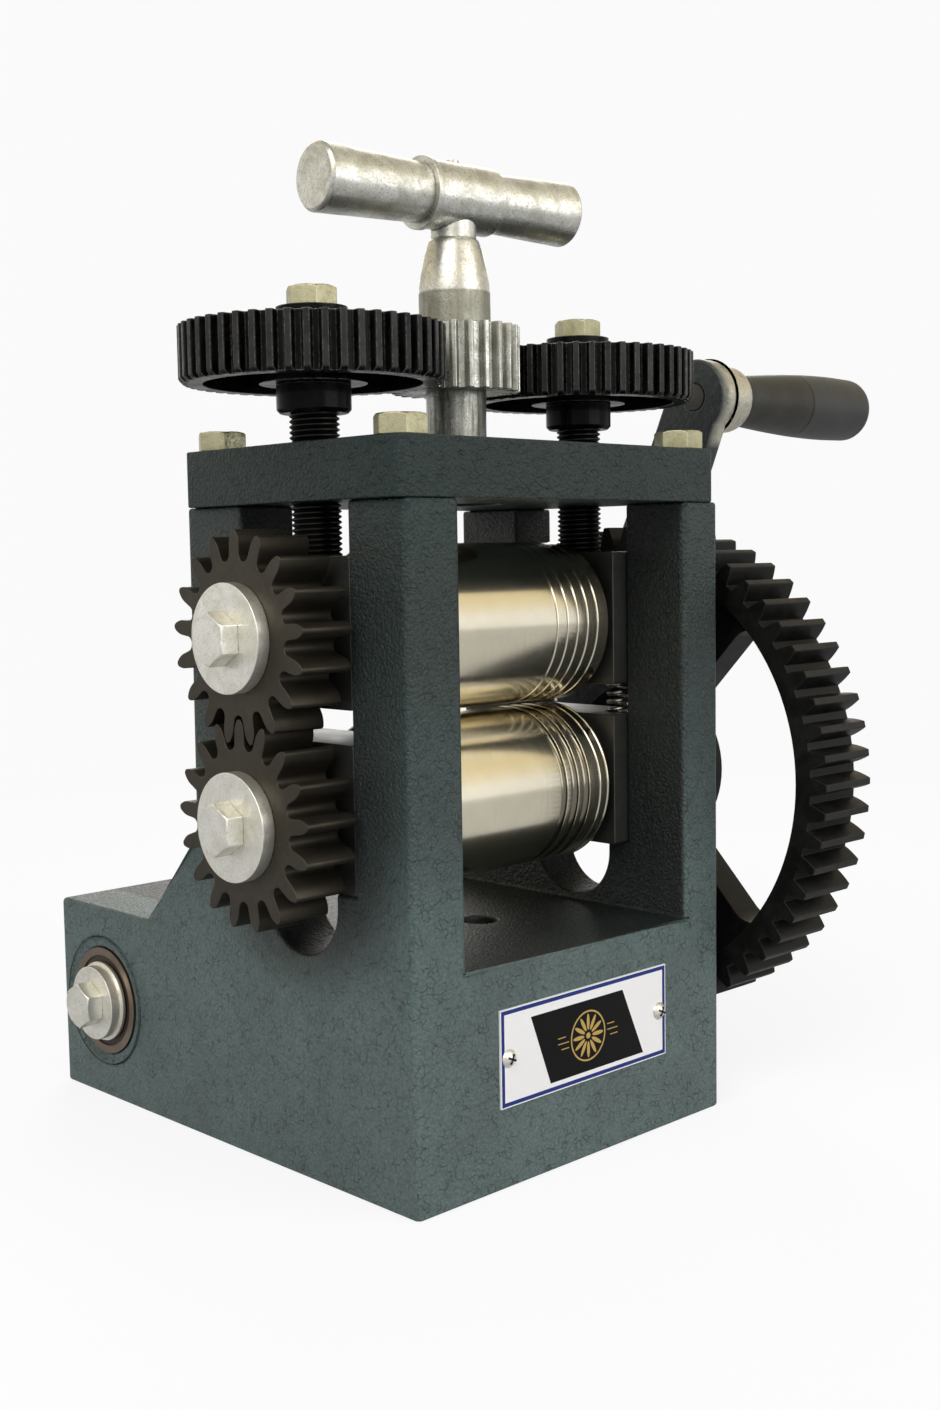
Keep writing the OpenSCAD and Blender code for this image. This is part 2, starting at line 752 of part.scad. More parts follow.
module lift_spring() {
    last = spring_rings * ring_sides;
    polyhedron(
        points = [for (i = [0:spring_rings]) each spring_ring(i)],
        faces = concat(
            [for (i = [0:spring_rings - 1], s = [0:ring_sides - 1], half = [0, 1])
                let (a = i * ring_sides + s, b = i * ring_sides + (s + 1) % ring_sides)
                half == 0 ? [a, b, a + ring_sides] : [b, b + ring_sides, a + ring_sides]],
            [for (s = [1:ring_sides - 2]) [0, s + 1, s]],
            [for (s = [1:ring_sides - 2]) [last, last + s, last + s + 1]]));
}

module lift_springs() {
    color(bare_steel) for (xs = [left_chock_x, right_chock_x], y = [-spring_y, spring_y])
        translate([spring_x(xs), y, spring_z0]) lift_spring();
}

// Half section of a roll along X, from its gear end to its far end
function roll_profile(end) = concat([[roll_gear_x0 + air_gap, stub_r], [roll_gear_x1, stub_r],
    [roll_gear_x1, journal_r], [roll_x0 - collar_t, journal_r], [roll_x0 - collar_t, collar_r],
    [roll_x0, collar_r], [roll_x0, roll_r - roll_edge_r], [roll_x0 + roll_edge_r, roll_r],
    [roll_x1 - roll_edge_r, roll_r], [roll_x1, roll_r - roll_edge_r], [roll_x1, collar_r],
    [roll_x1 + collar_t, collar_r], [roll_x1 + collar_t, journal_r]], end);

// V-shaped line cut round a roll, with its middle at x
module scribed_line(x) {
    rotate([90, 0, 90]) rotate_extrude() translate([0, x])
        polygon([[roll_r - line_depth, 0], [roll_r + over, line_half_w * (1 + over / line_depth)],
            [roll_r + over, -line_half_w * (1 + over / line_depth)]]);
}

// Key along X, laid in the top of a shaft
module key(x, l, r, w) {
    translate([x, -w / 2, r - w / 2]) cube([l, w, w]);
}

// Slot for a key, from x for a length l, cut through to the end of a hub or shaft
module key_slot(x, l, r, w) {
    translate([x, -w / 2 - fit_gap, r - w / 2 - fit_gap]) cube([l, w + 2 * fit_gap, w + 2 * fit_gap]);
}

// Tapped hole in a shaft end that faces -X, or +X where side is 1
module end_hole(x, side) {
    translate([x, 0, 0]) rotate([0, 90 * side, 0]) translate([0, 0, -end_hole_l])
        cylinder(r = bolt_r + run_gap, h = end_hole_l + over);
}

module lower_roll() {
    color(bare_steel) translate([0, 0, lower_z]) difference() {
        rotate([90, 0, 90]) turned(roll_profile([[bull_hub_x, journal_r], [bull_hub_x, drive_end_r],
            [drive_x1 - air_gap, drive_end_r]]));
        for (i = [0:wire_grooves - 1])
            rotate([90, 0, 90]) rotate_extrude()
                translate([roll_r, roll_x1 - first_groove_in + i * wire_groove_step])
                    circle(wire_groove_r, $fn = 32);
        for (in = lower_line_ins) scribed_line(roll_x1 - in);
        key_slot(roll_gear_x0 + over, roll_key_l, stub_r, roll_key_w);
        key_slot(bull_hub_x + over, drive_x1 - bull_hub_x, drive_end_r, bull_key_w);
        end_hole(roll_gear_x0 + air_gap, -1);
        end_hole(drive_x1 - air_gap, 1);
    }
}

module upper_roll() {
    color(bare_steel) translate([0, 0, upper_z]) difference() {
        rotate([90, 0, 90]) turned(roll_profile([[upper_end_x, journal_r]]));
        for (i = [0:upper_lines - 1]) scribed_line(roll_x1 - first_line_in + i * upper_line_step);
        key_slot(roll_gear_x0 + over, roll_key_l, stub_r, roll_key_w);
        end_hole(roll_gear_x0 + air_gap, -1);
    }
}

// Roll gear in place; both have a tooth at the top
module roll_gear(axis_z) {
    color(dark_steel) translate([0, 0, axis_z]) difference() {
        along_x(roll_gear_x0, 0, 0) linear_extrude(roll_gear_w)
            finger_gear_outline(roll_gear_m, roll_gear_teeth, 90);
        along_x(roll_gear_x0 - over, 0, 0) cylinder(r = stub_r + fit_gap, h = roll_gear_w + 2 * over);
        key_slot(roll_gear_x0 - over, roll_gear_w + 2 * over, stub_r, roll_key_w);
    }
}

module roll_gear_key(axis_z) {
    color(dark_steel) translate([0, 0, axis_z])
        key(roll_gear_x0 + over + fit_gap, roll_key_l - 2 * fit_gap, stub_r, roll_key_w);
}

module roll_gear_washer(axis_z) {
    color(zinc) along_x(roll_gear_x0 - roll_washer_t, 0, axis_z)
        ring(roll_washer_r, bolt_r + run_gap, roll_washer_t);
}

// M8 bolt whose head rests on a face at x and points to -X, or +X where side is 1
module end_bolt(x, y, z, side) {
    color(zinc) translate([x, y, z]) rotate([0, 90 * side, 0])
        hex_bolt(bolt_r, end_bolt_l, bolt_af, bolt_head_h);
}

module lower_roll_gear() {
    roll_gear(lower_z);
}

module lower_roll_gear_key() {
    roll_gear_key(lower_z);
}

module lower_gear_washer() {
    roll_gear_washer(lower_z);
}

module lower_gear_bolt() {
    end_bolt(roll_gear_x0 - roll_washer_t, 0, lower_z, -1);
}

module upper_roll_gear() {
    roll_gear(upper_z);
}

module upper_roll_gear_key() {
    roll_gear_key(upper_z);
}

module upper_gear_washer() {
    roll_gear_washer(upper_z);
}

module upper_gear_bolt() {
    end_bolt(roll_gear_x0 - roll_washer_t, 0, upper_z, -1);
}

// Outline of one opening of the large gear: a sector with round corners
module gear_window() {
    r = window_corner_r;
    rim = bull_rim_r + rim_overlap;
    far = rim - r;
    near = window_r + r;
    far_half = window_half - asin(r / far);
    near_half = window_half - asin(r / near);
    polygon(concat(
        arc([0, 0], rim, -far_half, far_half, 24),
        arc(far * [cos(far_half), sin(far_half)], r, far_half, window_half + 90, 6),
        arc(near * [cos(near_half), sin(near_half)], r, window_half + 90, near_half + 180, 6),
        arc([0, 0], window_r, near_half, -near_half, 12),
        arc(near * [cos(near_half), -sin(near_half)], r, -near_half - 180, -window_half - 90, 6),
        arc(far * [cos(far_half), -sin(far_half)], r, -window_half - 90, -far_half, 6)));
}

module bull_gear() {
    color(black_gloss) translate([0, 0, lower_z]) difference() {
        union() {
            difference() {
                along_x(drive_x0, 0, 0) linear_extrude(drive_w)
                    gear_outline(drive_m, bull_teeth, pressure, drive_add_share, drive_ded_share,
                        drive_slack_share, drive_waist_share, bull_phase);
                along_x(drive_x0 - over, 0, 0) cylinder(r = bull_rim_r, h = drive_w + 2 * over, $fn = 180);
            }
            along_x(drive_x0 + (drive_w - bull_web_t) / 2, 0, 0) linear_extrude(bull_web_t) difference() {
                circle(bull_rim_r + over, $fn = 180);
                for (i = [0:2]) rotate(bull_phase + i * 120) gear_window();
            }
            along_x(bull_hub_x, 0, 0) cylinder(r = bull_hub_r, h = drive_x1 - bull_hub_x);
        }
        along_x(bull_hub_x - over, 0, 0)
            cylinder(r = drive_end_r + fit_gap, h = drive_x1 - bull_hub_x + 2 * over);
        key_slot(bull_hub_x - over, drive_x1 - bull_hub_x + 2 * over, drive_end_r, bull_key_w);
    }
}

module bull_gear_key() {
    color(bare_steel) translate([0, 0, lower_z])
        key(bull_hub_x + over + fit_gap, drive_x1 - bull_hub_x - over - air_gap, drive_end_r, bull_key_w);
}

module bull_gear_washer() {
    color(zinc) along_x(drive_x1, 0, lower_z) ring(bull_washer_r, bolt_r + run_gap, bull_washer_t);
}

module bull_gear_bolt() {
    end_bolt(drive_x1 + bull_washer_t, 0, lower_z, 1);
}

// Shouldered stud for the idler, pressed into the right face of the base
module idler_stud() {
    color(bare_steel) translate([0, idler_y, idler_z]) rotate([90, 0, 90])
        turned([[right_x - stud_depth, stud_r], [right_x, stud_r], [right_x, stud_collar_r],
            [drive_x0 - air_gap, stud_collar_r], [drive_x0 - air_gap, stud_r], [drive_x1 + air_gap, stud_r],
            [drive_x1 + air_gap, stud_r - ring_groove_h], [drive_x1 + air_gap + ring_t, stud_r - ring_groove_h],
            [drive_x1 + air_gap + ring_t, stud_r], [drive_x1 + air_gap + ring_t + stud_end, stud_r]]);
}

// Open retaining ring in the stud's groove
module idler_ring() {
    color(dark_steel) along_x(drive_x1 + air_gap + fit_gap, idler_y, idler_z) difference() {
        ring(ring_r, stud_r - ring_groove_h + fit_gap, ring_t - 2 * fit_gap);
        translate([0, 0, -over]) linear_extrude(ring_t + 2 * over) polygon([[0, 0],
            2 * ring_r * [cos(ring_gap_half), sin(ring_gap_half)],
            2 * ring_r * [cos(ring_gap_half), -sin(ring_gap_half)]]);
    }
}

module idler_gear() {
    color(dark_steel) along_x(drive_x0, idler_y, idler_z) linear_extrude(drive_w) difference() {
        gear_outline(drive_m, idler_teeth, pressure, drive_add_share, drive_ded_share,
            drive_slack_share, drive_waist_share, idler_phase);
        circle(idler_bush_r + fit_gap);
    }
}

module idler_bush() {
    color(bronze) along_x(drive_x0, idler_y, idler_z) ring(idler_bush_r, stud_r + run_gap, drive_w);
}

module crank_shaft() {
    color(bare_steel) translate([0, crank_y, crank_z]) difference() {
        rotate([90, 0, 90]) turned([[left_x + air_gap, crank_shaft_r], [right_x, crank_shaft_r],
            [right_x, crank_shoulder_r], [drive_x0, crank_shoulder_r], [drive_x0, crank_shaft_r],
            [grip_boss_x - air_gap, crank_shaft_r]]);
        key_slot(drive_x0 + over, grip_boss_x - drive_x0, crank_shaft_r, crank_key_w);
        end_hole(left_x + air_gap, -1);
        end_hole(grip_boss_x - air_gap, 1);
    }
}

// One long key drives the pinion and holds the arm
module crank_key() {
    color(bare_steel) translate([0, crank_y, crank_z])
        key(drive_x0 + over + fit_gap, grip_boss_x - drive_x0 - over - air_gap, crank_shaft_r, crank_key_w);
}

module crank_pinion() {
    color(dark_steel) translate([0, crank_y, crank_z]) difference() {
        along_x(drive_x0, 0, 0) linear_extrude(drive_w)
            gear_outline(drive_m, crank_teeth, pressure, drive_add_share, drive_ded_share,
                drive_slack_share, drive_waist_share, crank_phase);
        along_x(drive_x0 - over, 0, 0) cylinder(r = crank_shaft_r + fit_gap, h = drive_w + 2 * over);
        key_slot(drive_x0 - over, drive_w + 2 * over, crank_shaft_r, crank_key_w);
    }
}

// Flat outline of the arm along +X from the shaft, bowed and tapered
function arm_mid(s) = arm_bow * 4 * s * (1 - s);
function arm_half(s) = (arm_w_shaft + (arm_w_grip - arm_w_shaft) * s) / 2;
module arm_outline() {
    polygon(concat(
        [for (i = [0:arm_steps]) let (s = i / arm_steps) [crank_r * s, arm_mid(s) - arm_half(s)]],
        [for (i = [arm_steps:-1:0]) let (s = i / arm_steps) [crank_r * s, arm_mid(s) + arm_half(s)]]));
    circle(arm_w_shaft / 2 + edge_r);
    translate([crank_r, 0]) circle(arm_eye_r);
}

// Turned boss with a domed end, on the outer face of the arm's eye
module grip_boss() {
    turned(concat([[0, boss_foot_r], [boss_foot_h, boss_r]],
        [for (a = [0:15:90]) [grip_boss_l - boss_dome_h * (1 - sin(a)),
            boss_tip_r + (boss_r - boss_tip_r) * cos(a)]]));
}

module crank_arm() {
    color(arm_paint) translate([0, crank_y, crank_z]) difference() {
        union() {
            along_x(arm_x, 0, 0) rotate(crank_rest) {
                linear_extrude(arm_t) arm_outline();
                translate([crank_r, 0, arm_t]) grip_boss();
            }
            along_x(drive_x1, 0, 0) cylinder(r = arm_hub_r, h = arm_x - drive_x1 + over);
        }
        along_x(drive_x1 - over, 0, 0)
            cylinder(r = crank_shaft_r + fit_gap, h = grip_boss_x - drive_x1 + 2 * over);
        key_slot(drive_x1 - over, grip_boss_x - drive_x1 + 2 * over, crank_shaft_r, crank_key_w);
        along_x(arm_x - over, grip_y - crank_y, grip_z - crank_z)
            cylinder(r = spindle_r + fit_gap, h = arm_t + grip_boss_l + 2 * over);
    }
}

module crank_arm_washer() {
    color(zinc) along_x(grip_boss_x, crank_y, crank_z) ring(crank_washer_r, bolt_r + run_gap, crank_washer_t);
}

module crank_arm_bolt() {
    end_bolt(grip_boss_x + crank_washer_t, crank_y, crank_z, 1);
}

// Two-step washer that clamps the left inner ring to the shaft
module crank_end_washer() {
    color(zinc) along_x(left_x, crank_y, crank_z) mirror([0, 0, 1]) difference() {
        turned([[0, end_washer_r], [end_washer_t, end_washer_r], [end_washer_t, end_step_r],
            [end_washer_t + end_step_t, end_step_r]]);
        translate([0, 0, -over]) cylinder(r = bolt_r + run_gap, h = end_washer_t + end_step_t + 2 * over);
    }
}

module crank_end_bolt() {
    end_bolt(left_x - end_washer_t - end_step_t, crank_y, crank_z, -1);
}

// Spindle riveted into the arm, with a head sunk in the end of the grip
module grip_spindle() {
    head_x = grip_x1 - spindle_inset - spindle_head_h;
    color(bare_steel) translate([0, grip_y, grip_z]) rotate([90, 0, 90])
        turned([[arm_x, spindle_r], [head_x, spindle_r], [head_x, spindle_head_r],
            [head_x + spindle_head_h, spindle_head_r]]);
}

// Radius of the grip at a share of its length: it swells, then draws in a little
function ease(a, b, s) = a + (b - a) * (1 - cos(180 * s)) / 2;
function grip_radius(s) = s < grip_peak_share
    ? grip_start_r + (grip_max_r - grip_start_r) * sin(90 * s / grip_peak_share)
    : ease(grip_max_r, grip_end_r, (s - grip_peak_share) / (1 - grip_peak_share));
module handle_grip() {
    pocket_x = grip_x1 - spindle_inset - spindle_head_h - air_gap;
    color("dimgray") translate([0, grip_y, grip_z]) rotate([90, 0, 90]) difference() {
        turned(concat(
            [for (i = [0:grip_steps]) let (s = grip_straight * i / grip_steps)
                [grip_x0 + grip_l * s, grip_radius(s)]],
            [for (a = [15:15:90]) [grip_x1 - grip_round * (1 - sin(a)),
                grip_radius(grip_straight) - grip_round * (1 - cos(a))]]));
        translate([0, 0, grip_x0 - over]) cylinder(r = spindle_r + run_gap, h = grip_l + 2 * over);
        translate([0, 0, pocket_x]) cylinder(r = spindle_head_r + air_gap, h = grip_x1 - pocket_x + over);
    }
}

// Places the two bearings, each drawn from z = 0 to its width
module at_bearings() {
    for (x = [left_x, right_x - bearing_w]) along_x(x, crank_y, crank_z) children();
}

module bearing_inner_rings() {
    color(bare_steel) at_bearings() rotate_extrude() difference() {
        translate([crank_shaft_r + fit_gap, 0]) square([inner_land_r - crank_shaft_r - fit_gap, bearing_w]);
        translate([race_in_r, bearing_w / 2]) circle(ball_r + race_gap);
    }
}

module bearing_outer_rings() {
    color(bare_steel) at_bearings() rotate_extrude() difference() {
        translate([outer_land_r, 0]) square([bearing_r - outer_land_r, bearing_w]);
        translate([race_in_r, bearing_w / 2]) circle(ball_r + race_gap);
    }
}

module bearing_balls() {
    color("silver") at_bearings() for (i = [0:ball_count - 1]) rotate(i * 360 / ball_count)
        translate([race_in_r, 0, bearing_w / 2]) sphere(ball_r, $fn = 32);
}

module bearing_shields() {
    color([0.30, 0.22, 0.16]) at_bearings() for (z = [shield_in, bearing_w - shield_in - shield_t])
        translate([0, 0, z]) ring(outer_land_r - fit_gap, inner_land_r + air_gap, shield_t);
}

module setting_screw(x) {
    color(black_gloss) translate([x, 0, 0]) difference() {
        turned([[screw_foot_z, screw_r - over], [screw_foot_z + over, screw_r],
            [screw_gear_z0 - screw_collar_h, screw_r], [screw_gear_z0 - screw_collar_h, screw_stem_r],
            [screw_hub_z1 - air_gap, screw_stem_r]]);
        translate([0, 0, screw_gear_z0 - over])
            cylinder(r = bolt_r + run_gap, h = screw_hub_z1 - screw_gear_z0 + 2 * over);
    }
}

// Gear on a setting screw: dished underneath, with its tooth ends chamfered below and a
// hub on top for the bolt
module screw_gear(x, side) {
    tip_r = top_m * (screw_gear_teeth / 2 + top_gear_add_share);
    rim_in_r = top_m * (screw_gear_teeth / 2 - top_ded_share) - rim_t;
    phase = mesh_phase(0, t_teeth, side, screw_gear_teeth);
    color(black_gloss) translate([x, 0, screw_gear_z0]) difference() {
        union() {
            intersection() {
                linear_extrude(screw_gear_w)
                    gear_outline(top_m, screw_gear_teeth, top_pressure, top_gear_add_share, top_ded_share,
                        top_slack_share, 1, phase);
                turned([[0, tip_r - tooth_chamfer], [tooth_chamfer, tip_r], [screw_gear_w, tip_r]]);
            }
            cylinder(r = screw_hub_r, h = screw_gear_w + screw_hub_h);
        }
        translate([0, 0, -over])
            cylinder(r = screw_stem_r + fit_gap, h = screw_gear_w + screw_hub_h + 2 * over);
        translate([0, 0, -over])
            ring(rim_in_r, screw_gear_boss_r, screw_gear_w - screw_gear_web_t + over);
    }
}

module screw_collar(x) {
    color(black_gloss) translate([x, 0, screw_gear_z0 - screw_collar_h]) difference() {
        turned([[0, screw_collar_r - over], [over, screw_collar_r], [screw_collar_h, screw_collar_r]]);
        translate([0, 0, -over]) cylinder(r = screw_stem_r + fit_gap, h = screw_collar_h + 2 * over);
    }
}

module screw_bolt(x) {
    color(zinc) translate([x, 0, screw_hub_z1])
        hex_bolt(bolt_r, screw_hub_z1 - screw_gear_z0 - over, bolt_af, top_bolt_head_h);
}

module left_screw() {
    setting_screw(left_screw_x);
}

module left_screw_gear() {
    screw_gear(left_screw_x, 180);
}

module left_screw_collar() {
    screw_collar(left_screw_x);
}

module left_screw_bolt() {
    screw_bolt(left_screw_x);
}

module right_screw() {
    setting_screw(right_screw_x);
}

module right_screw_gear() {
    screw_gear(right_screw_x, 0);
}

module right_screw_collar() {
    screw_collar(right_screw_x);
}

module right_screw_bolt() {
    screw_bolt(right_screw_x);
}

// Lays children drawn along +Z along the T handle's bar, from the middle of its sleeve
module along_bar() {
    translate([t_x, 0, bar_top]) rotate([0, 0, bar_turn]) rotate([90, 0, 90]) children();
}

// The shaft runs in the plate, carries the pinion and is saddled to the sleeve
module t_shaft() {
    journal_z = wall_top + recess_h - slide_gap;
    taper_z = t_pinion_z1 + shank_h;
    neck_z = taper_z + shank_taper_h + shank_tip_r - t_neck_r;
    color(zinc) difference() {
        union() {
            difference() {
                translate([t_x, 0, 0]) turned(concat([[journal_z, t_journal_r],
                    [plate_top + run_gap, t_journal_r], [plate_top + run_gap, t_shaft_r],
                    [t_pinion_z1, t_shaft_r], [t_pinion_z1, shank_r]],
                    [for (i = [0:shank_steps]) let (s = i / shank_steps)
                        [taper_z + shank_taper_h * s, shank_r - (shank_r - shank_tip_r) * pow(s, shank_bow)]],
                    [[neck_z, t_neck_r], [bar_top, t_neck_r]]));
                along_bar() translate([0, 0, -sleeve_half]) cylinder(r = sleeve_r + fit_gap, h = 2 * sleeve_half);
            }
            translate([t_x, 0, t_pinion_z1]) cylinder(r = t_stub_r, h = bar_top - bar_mid_r - run_gap - t_pinion_z1);
        }
        translate([t_x, 0, journal_z - over]) cylinder(r = retainer_screw_r + run_gap, h = plate_t + over);
    }
}

module t_pinion() {
    color(zinc) translate([t_x, 0, t_pinion_z0]) linear_extrude(t_pinion_w) difference() {
        gear_outline(top_m, t_teeth, top_pressure, top_pinion_add_share, top_ded_share,
            top_slack_share, 1, 0);
        circle(t_shaft_r + fit_gap);
    }
}

module t_sleeve() {
    color(zinc) difference() {
        along_bar() turned([[-sleeve_half, sleeve_ring_r], [sleeve_ring_w - sleeve_half, sleeve_ring_r],
            [sleeve_ring_w - sleeve_half, sleeve_r], [sleeve_half, sleeve_r]]);
        along_bar() translate([0, 0, -sleeve_half - over])
            cylinder(r = bar_mid_r + fit_gap, h = 2 * (sleeve_half + over));
        translate([t_x, 0, bar_top - sleeve_ring_r - over])
            cylinder(r = t_stub_r + fit_gap, h = sleeve_ring_r + over - bar_mid_r / 2);
        translate([t_x, 0, bar_top]) cylinder(r = bar_pin_r + fit_gap, h = sleeve_ring_r + over);
    }
}

module t_bar() {
    color(zinc) difference() {
        along_bar() turned([[-bar_left, bar_end_r - bar_chamfer], [bar_chamfer - bar_left, bar_end_r],
            [-sleeve_half, bar_neck_r], [-sleeve_half, bar_mid_r], [sleeve_half, bar_mid_r],
            [sleeve_half, bar_neck_r], [bar_right - bar_chamfer, bar_end_r], [bar_right, bar_end_r - bar_chamfer]]);
        translate([t_x, 0, bar_top + sleeve_r - bar_pin_in]) cylinder(r = bar_pin_r + fit_gap, h = bar_pin_in);
    }
}

module t_bar_pin() {
    color(bare_steel) translate([t_x, 0, bar_top + sleeve_r - bar_pin_in + fit_gap])
        cylinder(r = bar_pin_r, h = bar_pin_in + bar_pin_proud);
}

// Washer under the plate that keeps the T handle down
module t_retainer_washer() {
    top_z = wall_top + recess_h - slide_gap;
    color(dark_steel) translate([t_x, 0, top_z - retainer_t]) difference() {
        cylinder(r = retainer_r, h = retainer_t);
        translate([0, 0, -over]) cylinder(r = retainer_screw_r + run_gap, h = retainer_t + 2 * over);
        cone_h = retainer_head_r - retainer_screw_r;
        translate([0, 0, -over]) cylinder(r1 = retainer_head_r + run_gap + over, r2 = retainer_screw_r + run_gap,
            h = cone_h + over);
    }
}

// Countersunk screw that holds the washer
module t_retainer_screw() {
    top_z = wall_top + recess_h - slide_gap;
    cone_h = retainer_head_r - retainer_screw_r;
    color(zinc) translate([t_x, 0, top_z - retainer_t])
        turned([[0, retainer_head_r], [cone_h, retainer_screw_r], [retainer_screw_l, retainer_screw_r]]);
}

frame_casting();
top_plate();
top_plate_bolts();
nameplate();
nameplate_screws();
lower_chock_left();
lower_chock_right();
lower_roll_bushes();
upper_chock_left();
upper_chock_right();
upper_roll_bushes();
lift_springs();
lower_roll();
lower_roll_gear();
lower_roll_gear_key();
lower_gear_washer();
lower_gear_bolt();
upper_roll();
upper_roll_gear();
upper_roll_gear_key();
upper_gear_washer();
upper_gear_bolt();
bull_gear();
bull_gear_key();
bull_gear_washer();
bull_gear_bolt();
left_screw();
left_screw_gear();
left_screw_collar();
left_screw_bolt();
right_screw();
right_screw_gear();
right_screw_collar();
right_screw_bolt();
t_shaft();
t_pinion();
t_sleeve();
t_bar();
t_bar_pin();
t_retainer_washer();
t_retainer_screw();
idler_stud();
idler_ring();
idler_gear();
idler_bush();
crank_shaft();
crank_pinion();
crank_key();
crank_arm();
crank_arm_washer();
crank_arm_bolt();
crank_end_washer();
crank_end_bolt();
grip_spindle();
handle_grip();
bearing_inner_rings();
bearing_outer_rings();
bearing_balls();
bearing_shields();
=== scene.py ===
"""Looks of a hand-cranked jeweller's rolling mill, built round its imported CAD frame.

Every length is in metres, in the frame's own axes: X runs along the rolls from the gear
side to the crank side, Y to the rear and Z up, from the bench bolt hole at bench level.
"""

from __future__ import annotations

import json
import logging
import math
from dataclasses import dataclass
from enum import Enum
from typing import Sequence

import bmesh
import bpy
from mathutils import Matrix, Vector

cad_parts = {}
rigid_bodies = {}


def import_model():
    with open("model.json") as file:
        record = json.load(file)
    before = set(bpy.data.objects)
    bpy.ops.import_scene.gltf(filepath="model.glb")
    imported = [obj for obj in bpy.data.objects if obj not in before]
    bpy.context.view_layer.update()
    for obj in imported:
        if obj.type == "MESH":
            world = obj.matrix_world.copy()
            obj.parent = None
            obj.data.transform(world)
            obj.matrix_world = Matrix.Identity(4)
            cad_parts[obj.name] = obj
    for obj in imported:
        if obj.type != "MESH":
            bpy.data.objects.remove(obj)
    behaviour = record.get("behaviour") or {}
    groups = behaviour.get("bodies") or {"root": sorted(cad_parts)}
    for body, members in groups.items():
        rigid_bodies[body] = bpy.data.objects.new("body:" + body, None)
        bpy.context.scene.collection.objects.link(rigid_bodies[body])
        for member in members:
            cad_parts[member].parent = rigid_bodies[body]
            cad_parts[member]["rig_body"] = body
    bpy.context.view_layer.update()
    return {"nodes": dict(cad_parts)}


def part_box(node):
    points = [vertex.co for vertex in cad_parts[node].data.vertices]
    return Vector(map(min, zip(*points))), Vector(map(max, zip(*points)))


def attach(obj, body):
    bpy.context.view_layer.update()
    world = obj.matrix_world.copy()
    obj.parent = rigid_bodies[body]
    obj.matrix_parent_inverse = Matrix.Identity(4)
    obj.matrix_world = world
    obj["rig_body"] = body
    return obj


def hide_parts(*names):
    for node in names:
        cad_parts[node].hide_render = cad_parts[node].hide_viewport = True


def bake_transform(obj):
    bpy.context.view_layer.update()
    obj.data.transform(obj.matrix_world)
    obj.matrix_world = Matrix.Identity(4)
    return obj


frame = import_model()

LOG = logging.getLogger("mill")
BUILT: dict[str, bpy.types.Material] = {}
MM = 0.001
WELD = 0.002 * MM
FLAT = math.radians(0.4)
CREASE = math.radians(32.0)
SOFT_SHADING = 46.0

Colour = tuple[float, float, float]
Point = tuple[float, float, float]
Span = tuple[float, float]


def scaled(colour: Colour, factor: float) -> Colour:
    """Makes a colour darker or lighter."""
    return tuple(factor * part for part in colour)


class Axis(Enum):
    """Axis of a turned piece, as the share of each direction that lies across it."""

    X = (0.0, 1.0, 1.0)
    Z = (1.0, 1.0, 0.0)


class Edge(Enum):
    """Width of the rounding on a piece's edges, in metres."""

    SHARP = 0.12 * MM
    TURNED = 0.25 * MM
    SAWN = 0.45 * MM
    CAST = 1.0 * MM


